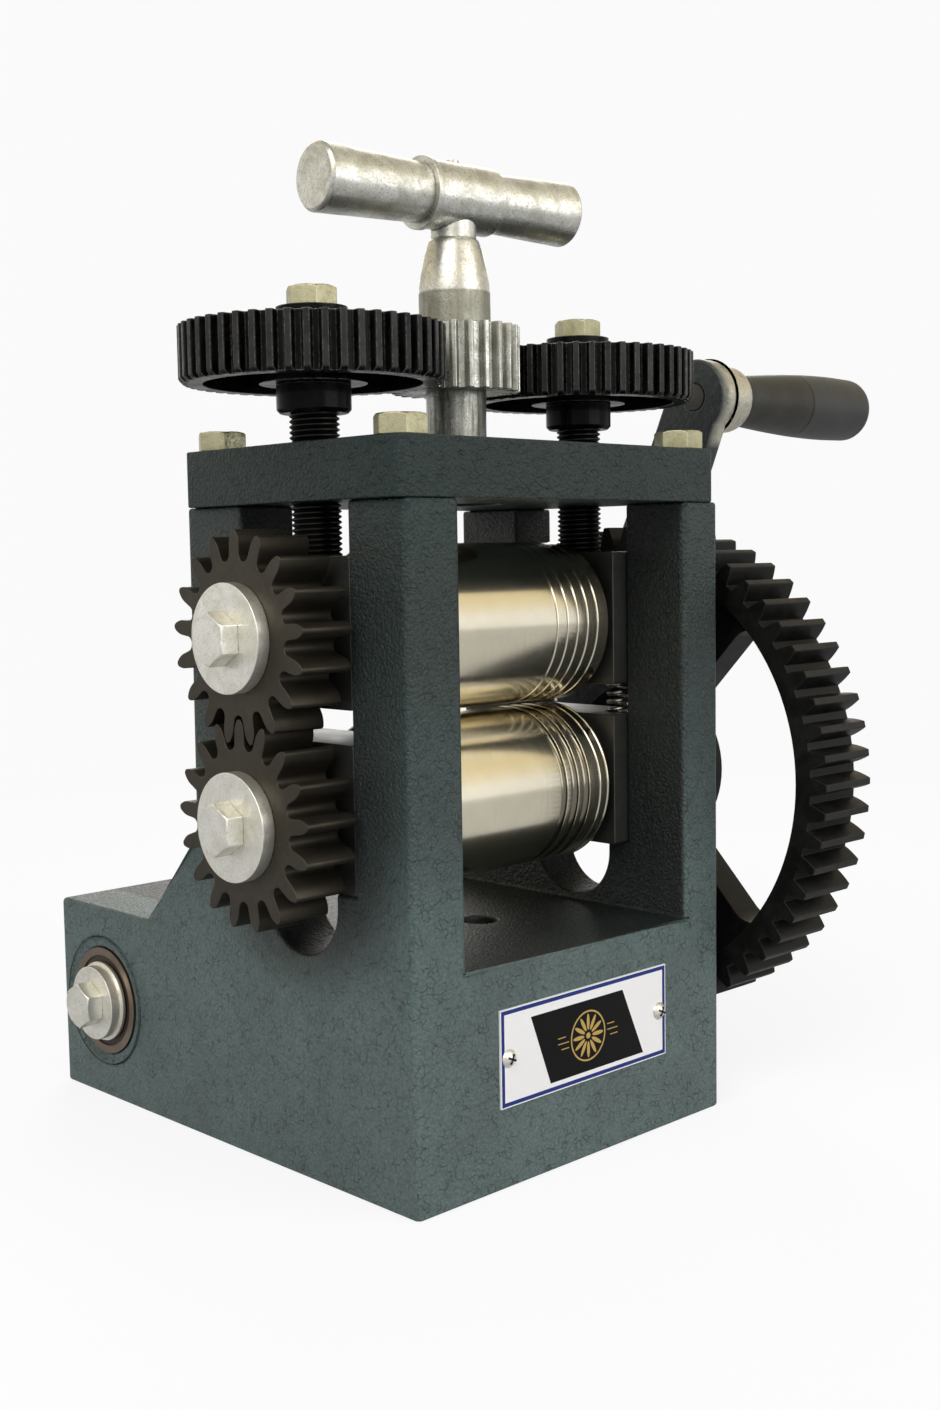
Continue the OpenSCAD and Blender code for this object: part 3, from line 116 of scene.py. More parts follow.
class Tree:
    """Short way to add and join the nodes of one node tree."""

    def __init__(self, tree: bpy.types.NodeTree) -> None:
        """Keeps the tree that the nodes go into."""
        self.tree = tree

    def feed(self, socket: bpy.types.NodeSocket, value: object) -> None:
        """Links an input to an output, or sets its value.

        Args:
            socket: The input.
            value: An output, a number, or a colour or vector of three numbers.
        """
        if isinstance(value, bpy.types.NodeSocket):
            self.tree.links.new(value, socket)
        elif isinstance(value, tuple) and socket.type == "RGBA":
            socket.default_value = (*value, 1.0)
        else:
            socket.default_value = value

    def add(self, kind: str, **settings: object) -> bpy.types.Node:
        """Adds one node, sets its properties and feeds its inputs.

        Args:
            kind: The node's Blender type name.
            **settings: Properties by their own name, and inputs as in_NAME with
                underscores for spaces, or as in_NUMBER.

        Returns:
            The new node.
        """
        node = self.tree.nodes.new(kind)
        for name, value in settings.items():
            if name.startswith("in_"):
                key = name[3:].replace("_", " ")
                self.feed(node.inputs[int(key) if key.isdigit() else key], value)
            else:
                setattr(node, name, value)
        return node

    def math(self, operation: str, a: object, b: object = 0.0,
             clamp: bool = False) -> bpy.types.NodeSocket:
        """Adds a Math node on two sockets or numbers.

        Args:
            operation: The Math node's operation.
            a: First socket or number.
            b: Second socket or number.
            clamp: Whether the result stays between 0 and 1.

        Returns:
            The node's output.
        """
        node = self.add("ShaderNodeMath", operation=operation, use_clamp=clamp, in_0=a, in_1=b)
        return node.outputs[0]

    def times(self, a: object, b: object, clamp: bool = False) -> bpy.types.NodeSocket:
        """Multiplies two sockets or numbers."""
        return self.math("MULTIPLY", a, b, clamp)

    def vector(self, operation: str, a: object, b: object | None = None) -> bpy.types.NodeSocket:
        """Adds a Vector Math node.

        Args:
            operation: The node's operation.
            a: First vector.
            b: Second vector, or the factor of a SCALE.

        Returns:
            The node's output, which is a number for LENGTH and DOT_PRODUCT.
        """
        node = self.add("ShaderNodeVectorMath", operation=operation, in_0=a)
        if b is not None:
            self.feed(node.inputs["Scale" if operation == "SCALE" else 1], b)
        return node.outputs["Value" if operation in ("LENGTH", "DOT_PRODUCT") else "Vector"]

    def parts(self, place: bpy.types.NodeSocket) -> list[bpy.types.NodeSocket]:
        """Splits a vector into its X, Y and Z."""
        return list(self.add("ShaderNodeSeparateXYZ", in_0=place).outputs)

    def noise(self, place: object, scale: object, detail: object = 2.0,
              **settings: object) -> bpy.types.Node:
        """Adds a Noise Texture node.

        Args:
            place: The vector that it reads.
            scale: Its scale.
            detail: Its detail.
            **settings: Further inputs, named as for add.

        Returns:
            The node.
        """
        return self.add("ShaderNodeTexNoise", in_Vector=place, in_Scale=scale, in_Detail=detail,
                        **settings)

    def mix(self, factor: object, a: object, b: object) -> bpy.types.NodeSocket:
        """Mixes two colours.

        Args:
            factor: Socket or number between 0 and 1.
            a: Colour or socket at factor 0.
            b: Colour or socket at factor 1.

        Returns:
            The mixed colour's socket.
        """
        node = self.add("ShaderNodeMix", data_type="RGBA", clamp_factor=True, in_0=factor, in_6=a,
                        in_7=b)
        return node.outputs[2]

    def ramp(self, value: bpy.types.NodeSocket, low: float, high: float, to_low: float = 0.0,
             to_high: float = 1.0) -> bpy.types.NodeSocket:
        """Maps a value from one range to another, clamped.

        Args:
            value: The socket to map.
            low: Value that becomes to_low.
            high: Value that becomes to_high.
            to_low: Result at low.
            to_high: Result at high.

        Returns:
            The mapped value's socket.
        """
        node = self.add("ShaderNodeMapRange", in_Value=value, in_From_Min=low, in_From_Max=high,
                        in_To_Min=to_low, in_To_Max=to_high)
        return node.outputs["Result"]

    def between(self, mask: bpy.types.NodeSocket, off: float, on: float) -> bpy.types.NodeSocket:
        """Runs from one number to another as a mask goes from 0 to 1."""
        return self.ramp(mask, 0.0, 1.0, off, on)


Sockets = bpy.types.bpy_prop_collection


def new_group(name: str, inputs: dict[str, float | None],
              outputs: Sequence[str]) -> tuple[Tree, Sockets, Sockets]:
    """Starts a shader node group.

    Args:
        name: The group's name.
        inputs: Socket name to default: a number, or None for a vector.
        outputs: Names of the value outputs.

    Returns:
        The group's Tree, the sockets that it is given and those that it gives back.
    """
    group = bpy.data.node_groups.new(name, "ShaderNodeTree")
    for socket, default in inputs.items():
        kind = "NodeSocketVector" if default is None else "NodeSocketFloat"
        made = group.interface.new_socket(name=socket, in_out="INPUT", socket_type=kind)
        if default is not None:
            made.default_value = default
    for socket in outputs:
        group.interface.new_socket(name=socket, in_out="OUTPUT", socket_type="NodeSocketFloat")
    tree = Tree(group)
    return tree, tree.add("NodeGroupInput").outputs, tree.add("NodeGroupOutput").inputs


class Effects:
    """Node groups that several finishes share, each built once.

    The pairs below are the ends of a noise's range that become 0 and 1.
    """

    CRACK_BEND = 1.6 * MM
    CRACK_GAP_SCALE = 260.0
    CRACK_GAPS = (0.42, 0.60)
    WEAR_SAMPLES = 6
    WEAR_TURN = (0.995, 0.80)
    WEAR_PATCHES = (0.35, 0.65)
    GRAIN_LINES = (0.25, 0.75)
    HAMMER_BEND_SCALE = 0.7
    HAMMER_CELLS = (0.75, 0.15)
    HAMMER_FINE_SCALE = 2.2
    HAMMER_FINE = (0.3, 0.7)
    HAMMER_FINE_SHARE = 0.6
    FLECK_SCALE = 9.0
    STAIN_PATCHES = (0.38, 0.66)
    STAIN_FLECKS = (0.52, 0.68)

    def __init__(self) -> None:
        """Builds the groups."""
        self.wear = self._wear()
        self.grain = self._grain()
        self.hammer = self._hammer()
        self.crackle = self._crackle()
        self.stain = self._stain()
        self.pocket = self._pocket()
        self.ring = self._ring()

    def _crackle(self) -> bpy.types.NodeTree:
        """Builds thin broken lines between cells.

        Returns:
            The group; its Mask is 1 in a line.
        """
        sockets = {"Vector": None, "Scale": 420.0, "Width": 0.05}
        tree, given, result = new_group("crackle", sockets, ["Mask"])
        bend = tree.noise(given["Vector"], given["Scale"]).outputs["Color"]
        place = tree.vector("ADD", given["Vector"], tree.vector("SCALE", bend, self.CRACK_BEND))
        cells = tree.add("ShaderNodeTexVoronoi", feature="DISTANCE_TO_EDGE", in_Vector=place,
                         in_Scale=given["Scale"])
        share = tree.math("DIVIDE", cells.outputs["Distance"], given["Width"])
        line = tree.math("SUBTRACT", 1.0, share, clamp=True)
        gaps = tree.noise(given["Vector"], self.CRACK_GAP_SCALE).outputs["Fac"]
        tree.feed(result["Mask"], tree.times(line, tree.ramp(gaps, *self.CRACK_GAPS)))
        return tree.tree

    def _pocket(self) -> bpy.types.NodeTree:
        """Builds the mask of a box with a soft edge.

        Returns:
            The group; its Mask is 1 between the corners Low and High.
        """
        sockets = {"Vector": None, "Low": None, "High": None, "Soft": 0.6 * MM}
        tree, given, result = new_group("pocket", sockets, ["Mask"])
        above = tree.vector("SUBTRACT", given["Vector"], given["Low"])
        below = tree.vector("SUBTRACT", given["High"], given["Vector"])
        x, y, z = tree.parts(tree.vector("MINIMUM", above, below))
        least = tree.math("MINIMUM", tree.math("MINIMUM", x, y), z)
        share = tree.math("DIVIDE", least, given["Soft"])
        tree.feed(result["Mask"], tree.math("ADD", share, 0.5, clamp=True))
        return tree.tree

    def _ring(self) -> bpy.types.NodeTree:
        """Builds a mask that depends on the distance from an axis.

        Returns:
            The group; Keep is 0 along the axis and 1 across it, and Mask runs from 1 at
            the radius Inner to 0 at the radius Outer.
        """
        sockets = {"Vector": None, "Centre": None, "Keep": None, "Inner": 0.01, "Outer": 0.02}
        tree, given, result = new_group("ring", sockets, ["Mask"])
        away = tree.vector("SUBTRACT", given["Vector"], given["Centre"])
        length = tree.vector("LENGTH", tree.vector("MULTIPLY", away, given["Keep"]))
        past = tree.math("SUBTRACT", given["Outer"], length)
        width = tree.math("SUBTRACT", given["Outer"], given["Inner"])
        tree.feed(result["Mask"], tree.math("DIVIDE", past, width, clamp=True))
        return tree.tree

    def _wear(self) -> bpy.types.NodeTree:
        """Builds the mask of rubbed edges.

        Returns:
            The group; its Mask is 1 on an outer edge where the coat is rubbed through.
        """
        sockets = {"Vector": None, "Radius": 0.6 * MM, "Amount": 0.5, "Scale": 300.0}
        tree, given, result = new_group("edge_wear", sockets, ["Mask"])
        bevel = tree.add("ShaderNodeBevel", samples=self.WEAR_SAMPLES, in_Radius=given["Radius"])
        flat = tree.add("ShaderNodeNewGeometry").outputs["Normal"]
        turn = tree.vector("DOT_PRODUCT", bevel.outputs["Normal"], flat)
        noise = tree.noise(given["Vector"], given["Scale"], detail=4.0, in_Roughness=0.65)
        patches = tree.ramp(noise.outputs["Fac"], *self.WEAR_PATCHES)
        wear_and_highlight = tree.times(tree.ramp(turn, *self.WEAR_TURN), patches)
        tree.feed(result["Mask"], tree.times(wear_and_highlight, given["Amount"], clamp=True))
        return tree.tree

    def _grain(self) -> bpy.types.NodeTree:
        """Builds noise that can be drawn out along an axis.

        Returns:
            The group; Stretch is the noise's frequency along each axis.
        """
        sockets = {"Vector": None, "Stretch": None, "Detail": 4.0}
        tree, given, result = new_group("drawn_grain", sockets, ["Value"])
        place = tree.vector("MULTIPLY", given["Vector"], given["Stretch"])
        noise = tree.noise(place, 1.0, given["Detail"], in_Roughness=0.6)
        tree.feed(result["Value"], tree.ramp(noise.outputs["Fac"], *self.GRAIN_LINES))
        return tree.tree

    def _hammer(self) -> bpy.types.NodeTree:
        """Builds the puckered skin of hammertone enamel.

        Returns:
            The group; Height is the skin's relief and Cell its lighter middles.
        """
        sockets = {"Vector": None, "Scale": 700.0, "Warp": 0.6}
        tree, given, result = new_group("hammertone", sockets, ["Height", "Cell"])
        spread = tree.vector("SCALE", given["Vector"], given["Scale"])
        bend = tree.noise(spread, self.HAMMER_BEND_SCALE).outputs["Color"]
        place = tree.vector("ADD", spread, tree.vector("SCALE", bend, given["Warp"]))
        cells = tree.add("ShaderNodeTexVoronoi", feature="SMOOTH_F1", in_Vector=place,
                         in_Scale=1.0, in_Smoothness=0.6)
        fine = tree.noise(place, self.HAMMER_FINE_SCALE, detail=3.0, in_Roughness=0.6)
        cell = tree.ramp(cells.outputs["Distance"], *self.HAMMER_CELLS)
        extra = tree.times(tree.ramp(fine.outputs["Fac"], *self.HAMMER_FINE),
                           self.HAMMER_FINE_SHARE)
        tree.feed(result["Height"], tree.math("ADD", cell, extra))
        tree.feed(result["Cell"], cell)
        return tree.tree

    def _stain(self) -> bpy.types.NodeTree:
        """Builds soft patches with a finer break-up inside them.

        Returns:
            The group; Patch is broad and soft, Fleck is small and sharp.
        """
        sockets = {"Vector": None, "Scale": 90.0}
        tree, given, result = new_group("stain", sockets, ["Patch", "Fleck"])
        place, scale = given["Vector"], given["Scale"]
        broad = tree.noise(place, scale, detail=5.0, in_Roughness=0.6, in_Distortion=0.6)
        small = tree.noise(place, tree.times(scale, self.FLECK_SCALE), detail=3.0, in_Roughness=0.7)
        tree.feed(result["Patch"], tree.ramp(broad.outputs["Fac"], *self.STAIN_PATCHES))
        tree.feed(result["Fleck"], tree.ramp(small.outputs["Fac"], *self.STAIN_FLECKS))
        return tree.tree


EFFECTS = Effects()


class Surface(Tree):
    """A material under construction: its tree, its shader and its Object coordinates."""

    def __init__(self, name: str) -> None:
        """Makes the material with one Principled shader.

        Args:
            name: The material's name.
        """
        self.material = bpy.data.materials.new(name)
        self.material.use_nodes = True
        super().__init__(self.material.node_tree)
        self.shader = self.tree.nodes["Principled BSDF"]
        self.place = self.add("ShaderNodeTexCoord").outputs["Object"]

    def effect(self, group: bpy.types.NodeTree, **values: object) -> Sockets:
        """Places a shared group on the Object coordinates.

        Args:
            group: The node group.
            **values: Its other inputs.

        Returns:
            The group's outputs.
        """
        node = self.add("ShaderNodeGroup", node_tree=group, in_Vector=self.place)
        for name, value in values.items():
            self.feed(node.inputs[name], value)
        return node.outputs

    def relief(self, height: bpy.types.NodeSocket, depth: float) -> None:
        """Bumps the surface.

        Args:
            height: The socket that holds the height, from 0 to about 1.
            depth: How deep a height of 1 is.
        """
        bump = self.add("ShaderNodeBump", in_Strength=1.0, in_Distance=depth, in_Height=height)
        self.feed(self.shader.inputs["Normal"], bump.outputs["Normal"])

    def set(self, **values: object) -> None:
        """Feeds the shader's inputs, named with underscores for spaces."""
        for name, value in values.items():
            self.feed(self.shader.inputs[name.replace("_", " ")], value)


@dataclass(frozen=True)
class Pocket:
    """Box in which a finish is made darker: painted shade in the frame's throat and slots, and
    darker streaks on the T shaft.
    """

    low: Point
    high: Point
    share: float = 1.0

    def mask(self, skin: Surface) -> bpy.types.NodeSocket:
        """Places the box's mask in a material."""
        return skin.effect(EFFECTS.pocket, Low=self.low, High=self.high)["Mask"]


@dataclass(frozen=True)
class Ring:
    """Round band about an axis: its centre, its axis, and the radii where it starts and ends."""

    centre: Point
    axis: Axis
    inner: float
    outer: float

    def mask(self, skin: Surface) -> bpy.types.NodeSocket:
        """Places the ring's mask in a material."""
        return skin.effect(EFFECTS.ring, Centre=self.centre, Keep=self.axis.value,
                           Inner=self.inner, Outer=self.outer)["Mask"]


@dataclass(frozen=True)
class Recipe:
    """What every finish has: its material's name and main colour."""

    name: str
    base: Colour

    def build(self) -> bpy.types.Material:
        """Makes the material.

        Returns:
            The material.
        """
        skin = Surface(self.name)
        self.paint(skin)
        return skin.material

    def paint(self, skin: Surface) -> None:
        """Fills the material in; each finish does this in its own way.

        Args:
            skin: The material under construction.
        """
        raise NotImplementedError


@dataclass(frozen=True)
class HammerEnamel(Recipe):
    """Hammertone enamel over cast iron or plate, with fine cracks and rubbed edges."""

    crest: Colour
    rough: float = 0.32
    rough_spread: float = 0.14
    gloss: float = 0.42
    scale: float = 1000.0
    depth: float = 0.22 * MM
    crest_share: float = 0.8
    shade_climb: Span = (0.045, 0.170)
    top_shade: Colour = (1.0, 1.0, 1.0)
    stain_scale: float = 35.0
    stain_share: float = 0.22
    crack_share: float = 0.75
    dark: float = 0.14
    shade_rings: tuple[Ring, ...] = ()
    shade_ring_share: float = 0.95
    shade_ring_break: float = 0.85
    pockets: tuple[Pocket, ...] = ()
    black: float = 0.10
    wear: float = 0.35
    wear_r: float = 0.9 * MM
    rubbed: Colour = (0.20, 0.165, 0.12)
    bare_x: float = 0.0
    bare_soft: float = 2.5 * MM
    bare_ring: Ring | None = None
    bare: Colour = (0.50, 0.48, 0.40)
    bare_tarnish: float = 0.6
    bare_metal: float = 0.85

    def paint(self, skin: Surface) -> None:
        """Lays crests, a darker top that is painted shade, stains, cracks, painted shade round the
        gears and in the pockets, wear and bare metal in turn.

        Args:
            skin: The material under construction.
        """
        hammer = skin.effect(EFFECTS.hammer, Scale=self.scale)
        cracks = skin.effect(EFFECTS.crackle)["Mask"]
        stain = skin.effect(EFFECTS.stain, Scale=self.stain_scale)
        wear = skin.effect(EFFECTS.wear, Radius=self.wear_r, Amount=self.wear)["Mask"]
        x, _, z = skin.parts(skin.place)
        # Painted shade: the coat runs darker towards the top, over the given span of heights.
        high = tuple(part * tint for part, tint in zip(self.base, self.top_shade))
        dark = scaled(self.base, self.dark)
        colour = skin.mix(skin.times(hammer["Cell"], self.crest_share), self.base, self.crest)
        colour = skin.mix(skin.ramp(z, *self.shade_climb), colour, high)
        colour = skin.mix(skin.times(stain["Patch"], self.stain_share), colour, dark)
        colour = skin.mix(skin.times(cracks, self.crack_share), colour, dark)
        # Painted shade: the casting's side is darkened in rings about the roll gears' axes, broken
        # up by the stain patches.
        for shade_ring in self.shade_rings:
            broken_shade = skin.times(shade_ring.mask(skin), skin.between(stain["Patch"], self.shade_ring_break, 1.0))
            colour = skin.mix(skin.times(broken_shade, self.shade_ring_share), colour, dark)
        # Painted shade: the pockets darken the frame's throat and slots, where shade falls.
        for pocket in self.pockets:
            painted_shade = skin.times(pocket.mask(skin), pocket.share)
            colour = skin.mix(painted_shade, colour, scaled(self.base, self.black))
        colour = skin.mix(wear, colour, self.rubbed)
        if self.bare_ring is not None:
            beyond = skin.ramp(x, self.bare_x - self.bare_soft, self.bare_x + self.bare_soft)
            metal = skin.times(beyond, self.bare_ring.mask(skin))
            tarnish = scaled(self.bare, self.bare_tarnish)
            colour = skin.mix(metal, colour, skin.mix(stain["Fleck"], self.bare, tarnish))
            skin.set(Metallic=skin.times(metal, self.bare_metal))
        dull = skin.between(hammer["Cell"], self.rough + self.rough_spread, self.rough)
        skin.set(Base_Color=colour, Roughness=dull, Specular_IOR_Level=self.gloss)
        skin.relief(skin.math("SUBTRACT", hammer["Height"], cracks), self.depth)


@dataclass(frozen=True)
class GlossEnamel(Recipe):
    """Smooth dark enamel with bare metal on edges and on the tips of teeth, which is partly wear
    and partly a painted highlight.
    """

    bare: Colour
    tips: tuple[Ring, ...]
    tip_share: float = 0.6
    tip_fade: float = 0.35
    rough: float = 0.22
    rough_spread: float = 0.12
    gloss: float = 0.15
    coat: float = 0.05
    dust: float = 0.006
    stain_scale: float = 120.0
    wear: float = 0.8
    wear_r: float = 0.5 * MM
    wear_scale: float = 900.0
    worn_metal: float = 0.6
    depth: float = 0.02 * MM

    def paint(self, skin: Surface) -> None:
        """Lays the enamel, then the bare metal on edges and tips, which is partly wear and partly a
        painted highlight.

        Args:
            skin: The material under construction.
        """
        stain = skin.effect(EFFECTS.stain, Scale=self.stain_scale)
        # Bare metal on edges and tooth tips: partly wear, partly a painted highlight.
        wear_and_highlight = skin.effect(EFFECTS.wear, Radius=self.wear_r, Amount=self.wear,
                           Scale=self.wear_scale)["Mask"]
        body = skin.mix(stain["Patch"], self.base, tuple(part + self.dust for part in self.base))
        within = self.tips[0].mask(skin)
        for ring in self.tips[1:]:
            within = skin.math("MAXIMUM", within, ring.mask(skin))
        fade = skin.between(stain["Patch"], 1.0, self.tip_fade)
        land = skin.times(skin.math("SUBTRACT", 1.0, within), fade)
        wear_and_highlight = skin.math("MAXIMUM", wear_and_highlight, skin.times(land, self.tip_share))
        skin.set(Base_Color=skin.mix(wear_and_highlight, body, self.bare),
                 Roughness=skin.between(stain["Patch"], self.rough, self.rough + self.rough_spread),
                 Metallic=skin.times(wear_and_highlight, self.worn_metal), Coat_Weight=self.coat,
                 Specular_IOR_Level=self.gloss)
        skin.relief(stain["Fleck"], self.depth)


@dataclass(frozen=True)
class TurnedSteel(Recipe):
    """Bare metal with fine lines left by turning, milling or grinding."""

    shade: Colour
    rough: float = 0.30
    rough_span: Span = (-0.05, 0.09)
    stretch: Point = (4000.0, 120.0, 120.0)
    grain_detail: float = 3.0
    line_share: float = 0.25
    depth: float = 0.006 * MM
    metal: float = 1.0
    stain_scale: float = 60.0
    stain_share: float = 0.5
    oiled: tuple[Ring, ...] = ()
    oil_share: float = 0.75
    oil: Colour = (0.02, 0.018, 0.012)

    def paint(self, skin: Surface) -> None:
        """Lays stains, lines and oil in turn.

        Args:
            skin: The material under construction.
        """
        grain = skin.effect(EFFECTS.grain, Stretch=self.stretch, Detail=self.grain_detail)["Value"]
        patch = skin.effect(EFFECTS.stain, Scale=self.stain_scale)["Patch"]
        tint = skin.mix(skin.times(patch, self.stain_share), self.base, self.shade)
        tint = skin.mix(skin.times(grain, self.line_share), tint, self.shade)
        for ring in self.oiled:
            tint = skin.mix(skin.times(ring.mask(skin), self.oil_share), tint, self.oil)
        least, most = (self.rough + part for part in self.rough_span)
        skin.set(Base_Color=tint, Metallic=self.metal, Roughness=skin.between(grain, least, most))
        skin.relief(grain, self.depth)


@dataclass(frozen=True)
class ZincPlate(Recipe):
    """Zinc plating: pale, a little yellow, with dull and pitted patches."""

    dull: Colour
    rough: float = 0.34
    rough_spread: float = 0.14
    wide_rough: float = 0.06
    metal: float = 0.9
    scale: float = 160.0
    wide: float = 0.25
    depth: float = 0.03 * MM
    patch_share: float = 0.6
    pit_share: float = 0.35
    pit_dark: float = 0.45
    raw_band: Span | None = None
    raw_scale: float = 1500.0
    raw_share: float = 0.65
    raw_rough: float = 0.16
    beyond: float = 1.0
    pockets: tuple[Pocket, ...] = ()
    pocket_tone: Colour = (0.030, 0.036, 0.024)
    streak: Point = (700.0, 700.0, 60.0)
    streak_span: Span = (0.2, 0.8)
    streak_low: float = 0.5

    def paint(self, skin: Surface) -> None:
        """Lays dull patches, pits, a raw band and darker streaks in the given boxes in turn.

        Args:
            skin: The material under construction.
        """
        stain = skin.effect(EFFECTS.stain, Scale=self.scale)
        broad = skin.effect(EFFECTS.stain, Scale=self.scale * self.wide)["Patch"]
        patch, fleck = stain["Patch"], stain["Fleck"]
        tint = skin.mix(skin.times(patch, self.patch_share), self.base, self.dull)
        tint = skin.mix(skin.times(fleck, self.pit_share), tint, scaled(self.dull, self.pit_dark))
        rough = skin.math("ADD", skin.between(patch, self.rough, self.rough + self.rough_spread),
                          skin.times(broad, self.wide_rough))
        height = skin.math("SUBTRACT", broad, fleck)
        if self.raw_band is not None:
            low, high = ((side, side, level) for side, level in
                         zip((-self.beyond, self.beyond), self.raw_band))
            raw = Pocket(low, high).mask(skin)
            coarse = skin.effect(EFFECTS.hammer, Scale=self.raw_scale)["Height"]
            tint = skin.mix(skin.times(raw, self.raw_share), tint, self.dull)
            rough = skin.math("ADD", rough, skin.times(raw, self.raw_rough))
            height = skin.math("ADD", height, skin.times(raw, coarse))
        for pocket in self.pockets:
            streak = skin.effect(EFFECTS.grain, Stretch=self.streak)["Value"]
            share = skin.ramp(streak, *self.streak_span, pocket.share,
                              self.streak_low * pocket.share)
            tint = skin.mix(skin.times(pocket.mask(skin), share), tint, self.pocket_tone)
        skin.set(Base_Color=tint, Metallic=self.metal, Roughness=rough)
        skin.relief(height, self.depth)


@dataclass(frozen=True)
class GripLacquer(Recipe):
    """Turned grip in two tones that meet at a ring."""

    outer: Colour
    ring_x: float
    meet: float = 0.2 * MM
    groove: Span = (0.7 * MM, 0.3 * MM)
    groove_tone: Colour = (0.004, 0.004, 0.004)
    stretch: Point = (1800.0, 60.0, 60.0)
    grain_detail: float = 3.0
    stain_scale: float = 70.0
    stain_share: float = 0.35
    pale: float = 1.8
    rough_span: Span = (0.44, 0.54)
    coat: float = 0.05
    gloss: float = 0.3
    depth: float = 0.008 * MM

    def paint(self, skin: Surface) -> None:
        """Lays both tones, a pale bloom and the dark groove in turn.

        Args:
            skin: The material under construction.
        """
        x = skin.parts(skin.place)[0]
        grain = skin.effect(EFFECTS.grain, Stretch=self.stretch, Detail=self.grain_detail)["Value"]
        patch = skin.effect(EFFECTS.stain, Scale=self.stain_scale)["Patch"]
        side = skin.ramp(x, self.ring_x - self.meet, self.ring_x + self.meet)
        tone = skin.mix(side, self.base, self.outer)
        bloom = skin.times(patch, self.stain_share)
        tone = skin.mix(bloom, tone, scaled(self.outer, self.pale))
        away = skin.math("ABSOLUTE", skin.math("SUBTRACT", x, self.ring_x))
        tone = skin.mix(skin.ramp(away, *self.groove), tone, self.groove_tone)
        skin.set(Base_Color=tone, Roughness=skin.between(grain, *self.rough_span),
                 Coat_Weight=self.coat, Specular_IOR_Level=self.gloss)
        skin.relief(grain, self.depth)


@dataclass(frozen=True)
class PrintedSheet(Recipe):
    """Flat print on thin aluminium, with a faint grain under the ink."""

    rough: float = 0.30
    rough_spread: float = 0.08
    metal: float = 0.0
    gloss: float = 0.5
    stretch: Point = (300.0, 300.0, 5000.0)
    grain_detail: float = 2.0
    shade: float = 0.95
    depth: float = 0.003 * MM

    def paint(self, skin: Surface) -> None:
        """Lays the ink over the grain.

        Args:
            skin: The material under construction.
        """
        grain = skin.effect(EFFECTS.grain, Stretch=self.stretch, Detail=self.grain_detail)["Value"]
        skin.set(Base_Color=skin.mix(grain, self.base, scaled(self.base, self.shade)),
                 Metallic=self.metal, Specular_IOR_Level=self.gloss,
                 Roughness=skin.between(grain, self.rough, self.rough + self.rough_spread))
        skin.relief(grain, self.depth)


def centre_of(node: str) -> tuple[Point, float]:
    """Finds the middle of a CAD node and half its width along Y.

    Args:
        node: The node.

    Returns:
        The middle, and the half width, which is a gear's radius.
    """
    low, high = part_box(node)
    middle = tuple((a + b) / 2 for a, b in zip(low, high))
    return middle, (high[1] - low[1]) / 2


def inside_tips(node: str, axis: Axis, height: float = 0.5 * MM, soft: float = 0.4) -> Ring:
    """Marks what lies below the tips of a gear's teeth.

    Args:
        node: The gear's node.
        axis: The gear's axis.
        height: How far below the tips the mark starts to fade.
        soft: Share of that height at which the mark ends.

    Returns:
        The ring.
    """
    middle, radius = centre_of(node)
    return Ring(middle, axis, radius - height, radius - soft * height)


LOWER_AXIS = (0.0, 0.0, 104 * MM)
UPPER_AXIS = (0.0, 0.0, 155 * MM)
BOSS = Ring(centre_of("handle_grip")[0], Axis.X, 16 * MM, 18.5 * MM)
# Boxes on the T shaft, at its foot and round its pinion, that are made darker in streaks.
SHAFT_FOOT = Pocket((-0.0300, -0.0300, 0.2000), (0.0200, 0.0300, 0.2246), share=0.90)
PINION_ZONE = Pocket((-0.0300, -0.0300, 0.2240), (0.0200, 0.0300, 0.2538), share=0.42)
# Painted shade inside the frame's throat and its roll slots.
THROAT_SHADE = Pocket((-0.0509, -0.0464, 0.0630), (0.0434, 0.2000, 0.2500), share=0.96)
SLOT_SHADE = Pocket((-0.0697, -0.0243, 0.0560), (0.0597, 0.0243, 0.2500), share=0.90)
GROOVES = tuple(Ring(at, Axis.X, 24.6 * MM, 24.9 * MM) for at in (LOWER_AXIS, UPPER_AXIS))
# Painted shade on the casting's side round the roll gears.
GEAR_SHADE_RINGS = (Ring(LOWER_AXIS, Axis.X, 36 * MM, 52 * MM),
              Ring(UPPER_AXIS, Axis.X, 40 * MM, 70 * MM))
SCREW_TIPS = tuple(inside_tips(f"{side}_screw_gear", Axis.Z) for side in ("left", "right"))
BULL_TIPS = (inside_tips("bull_gear", Axis.X),)


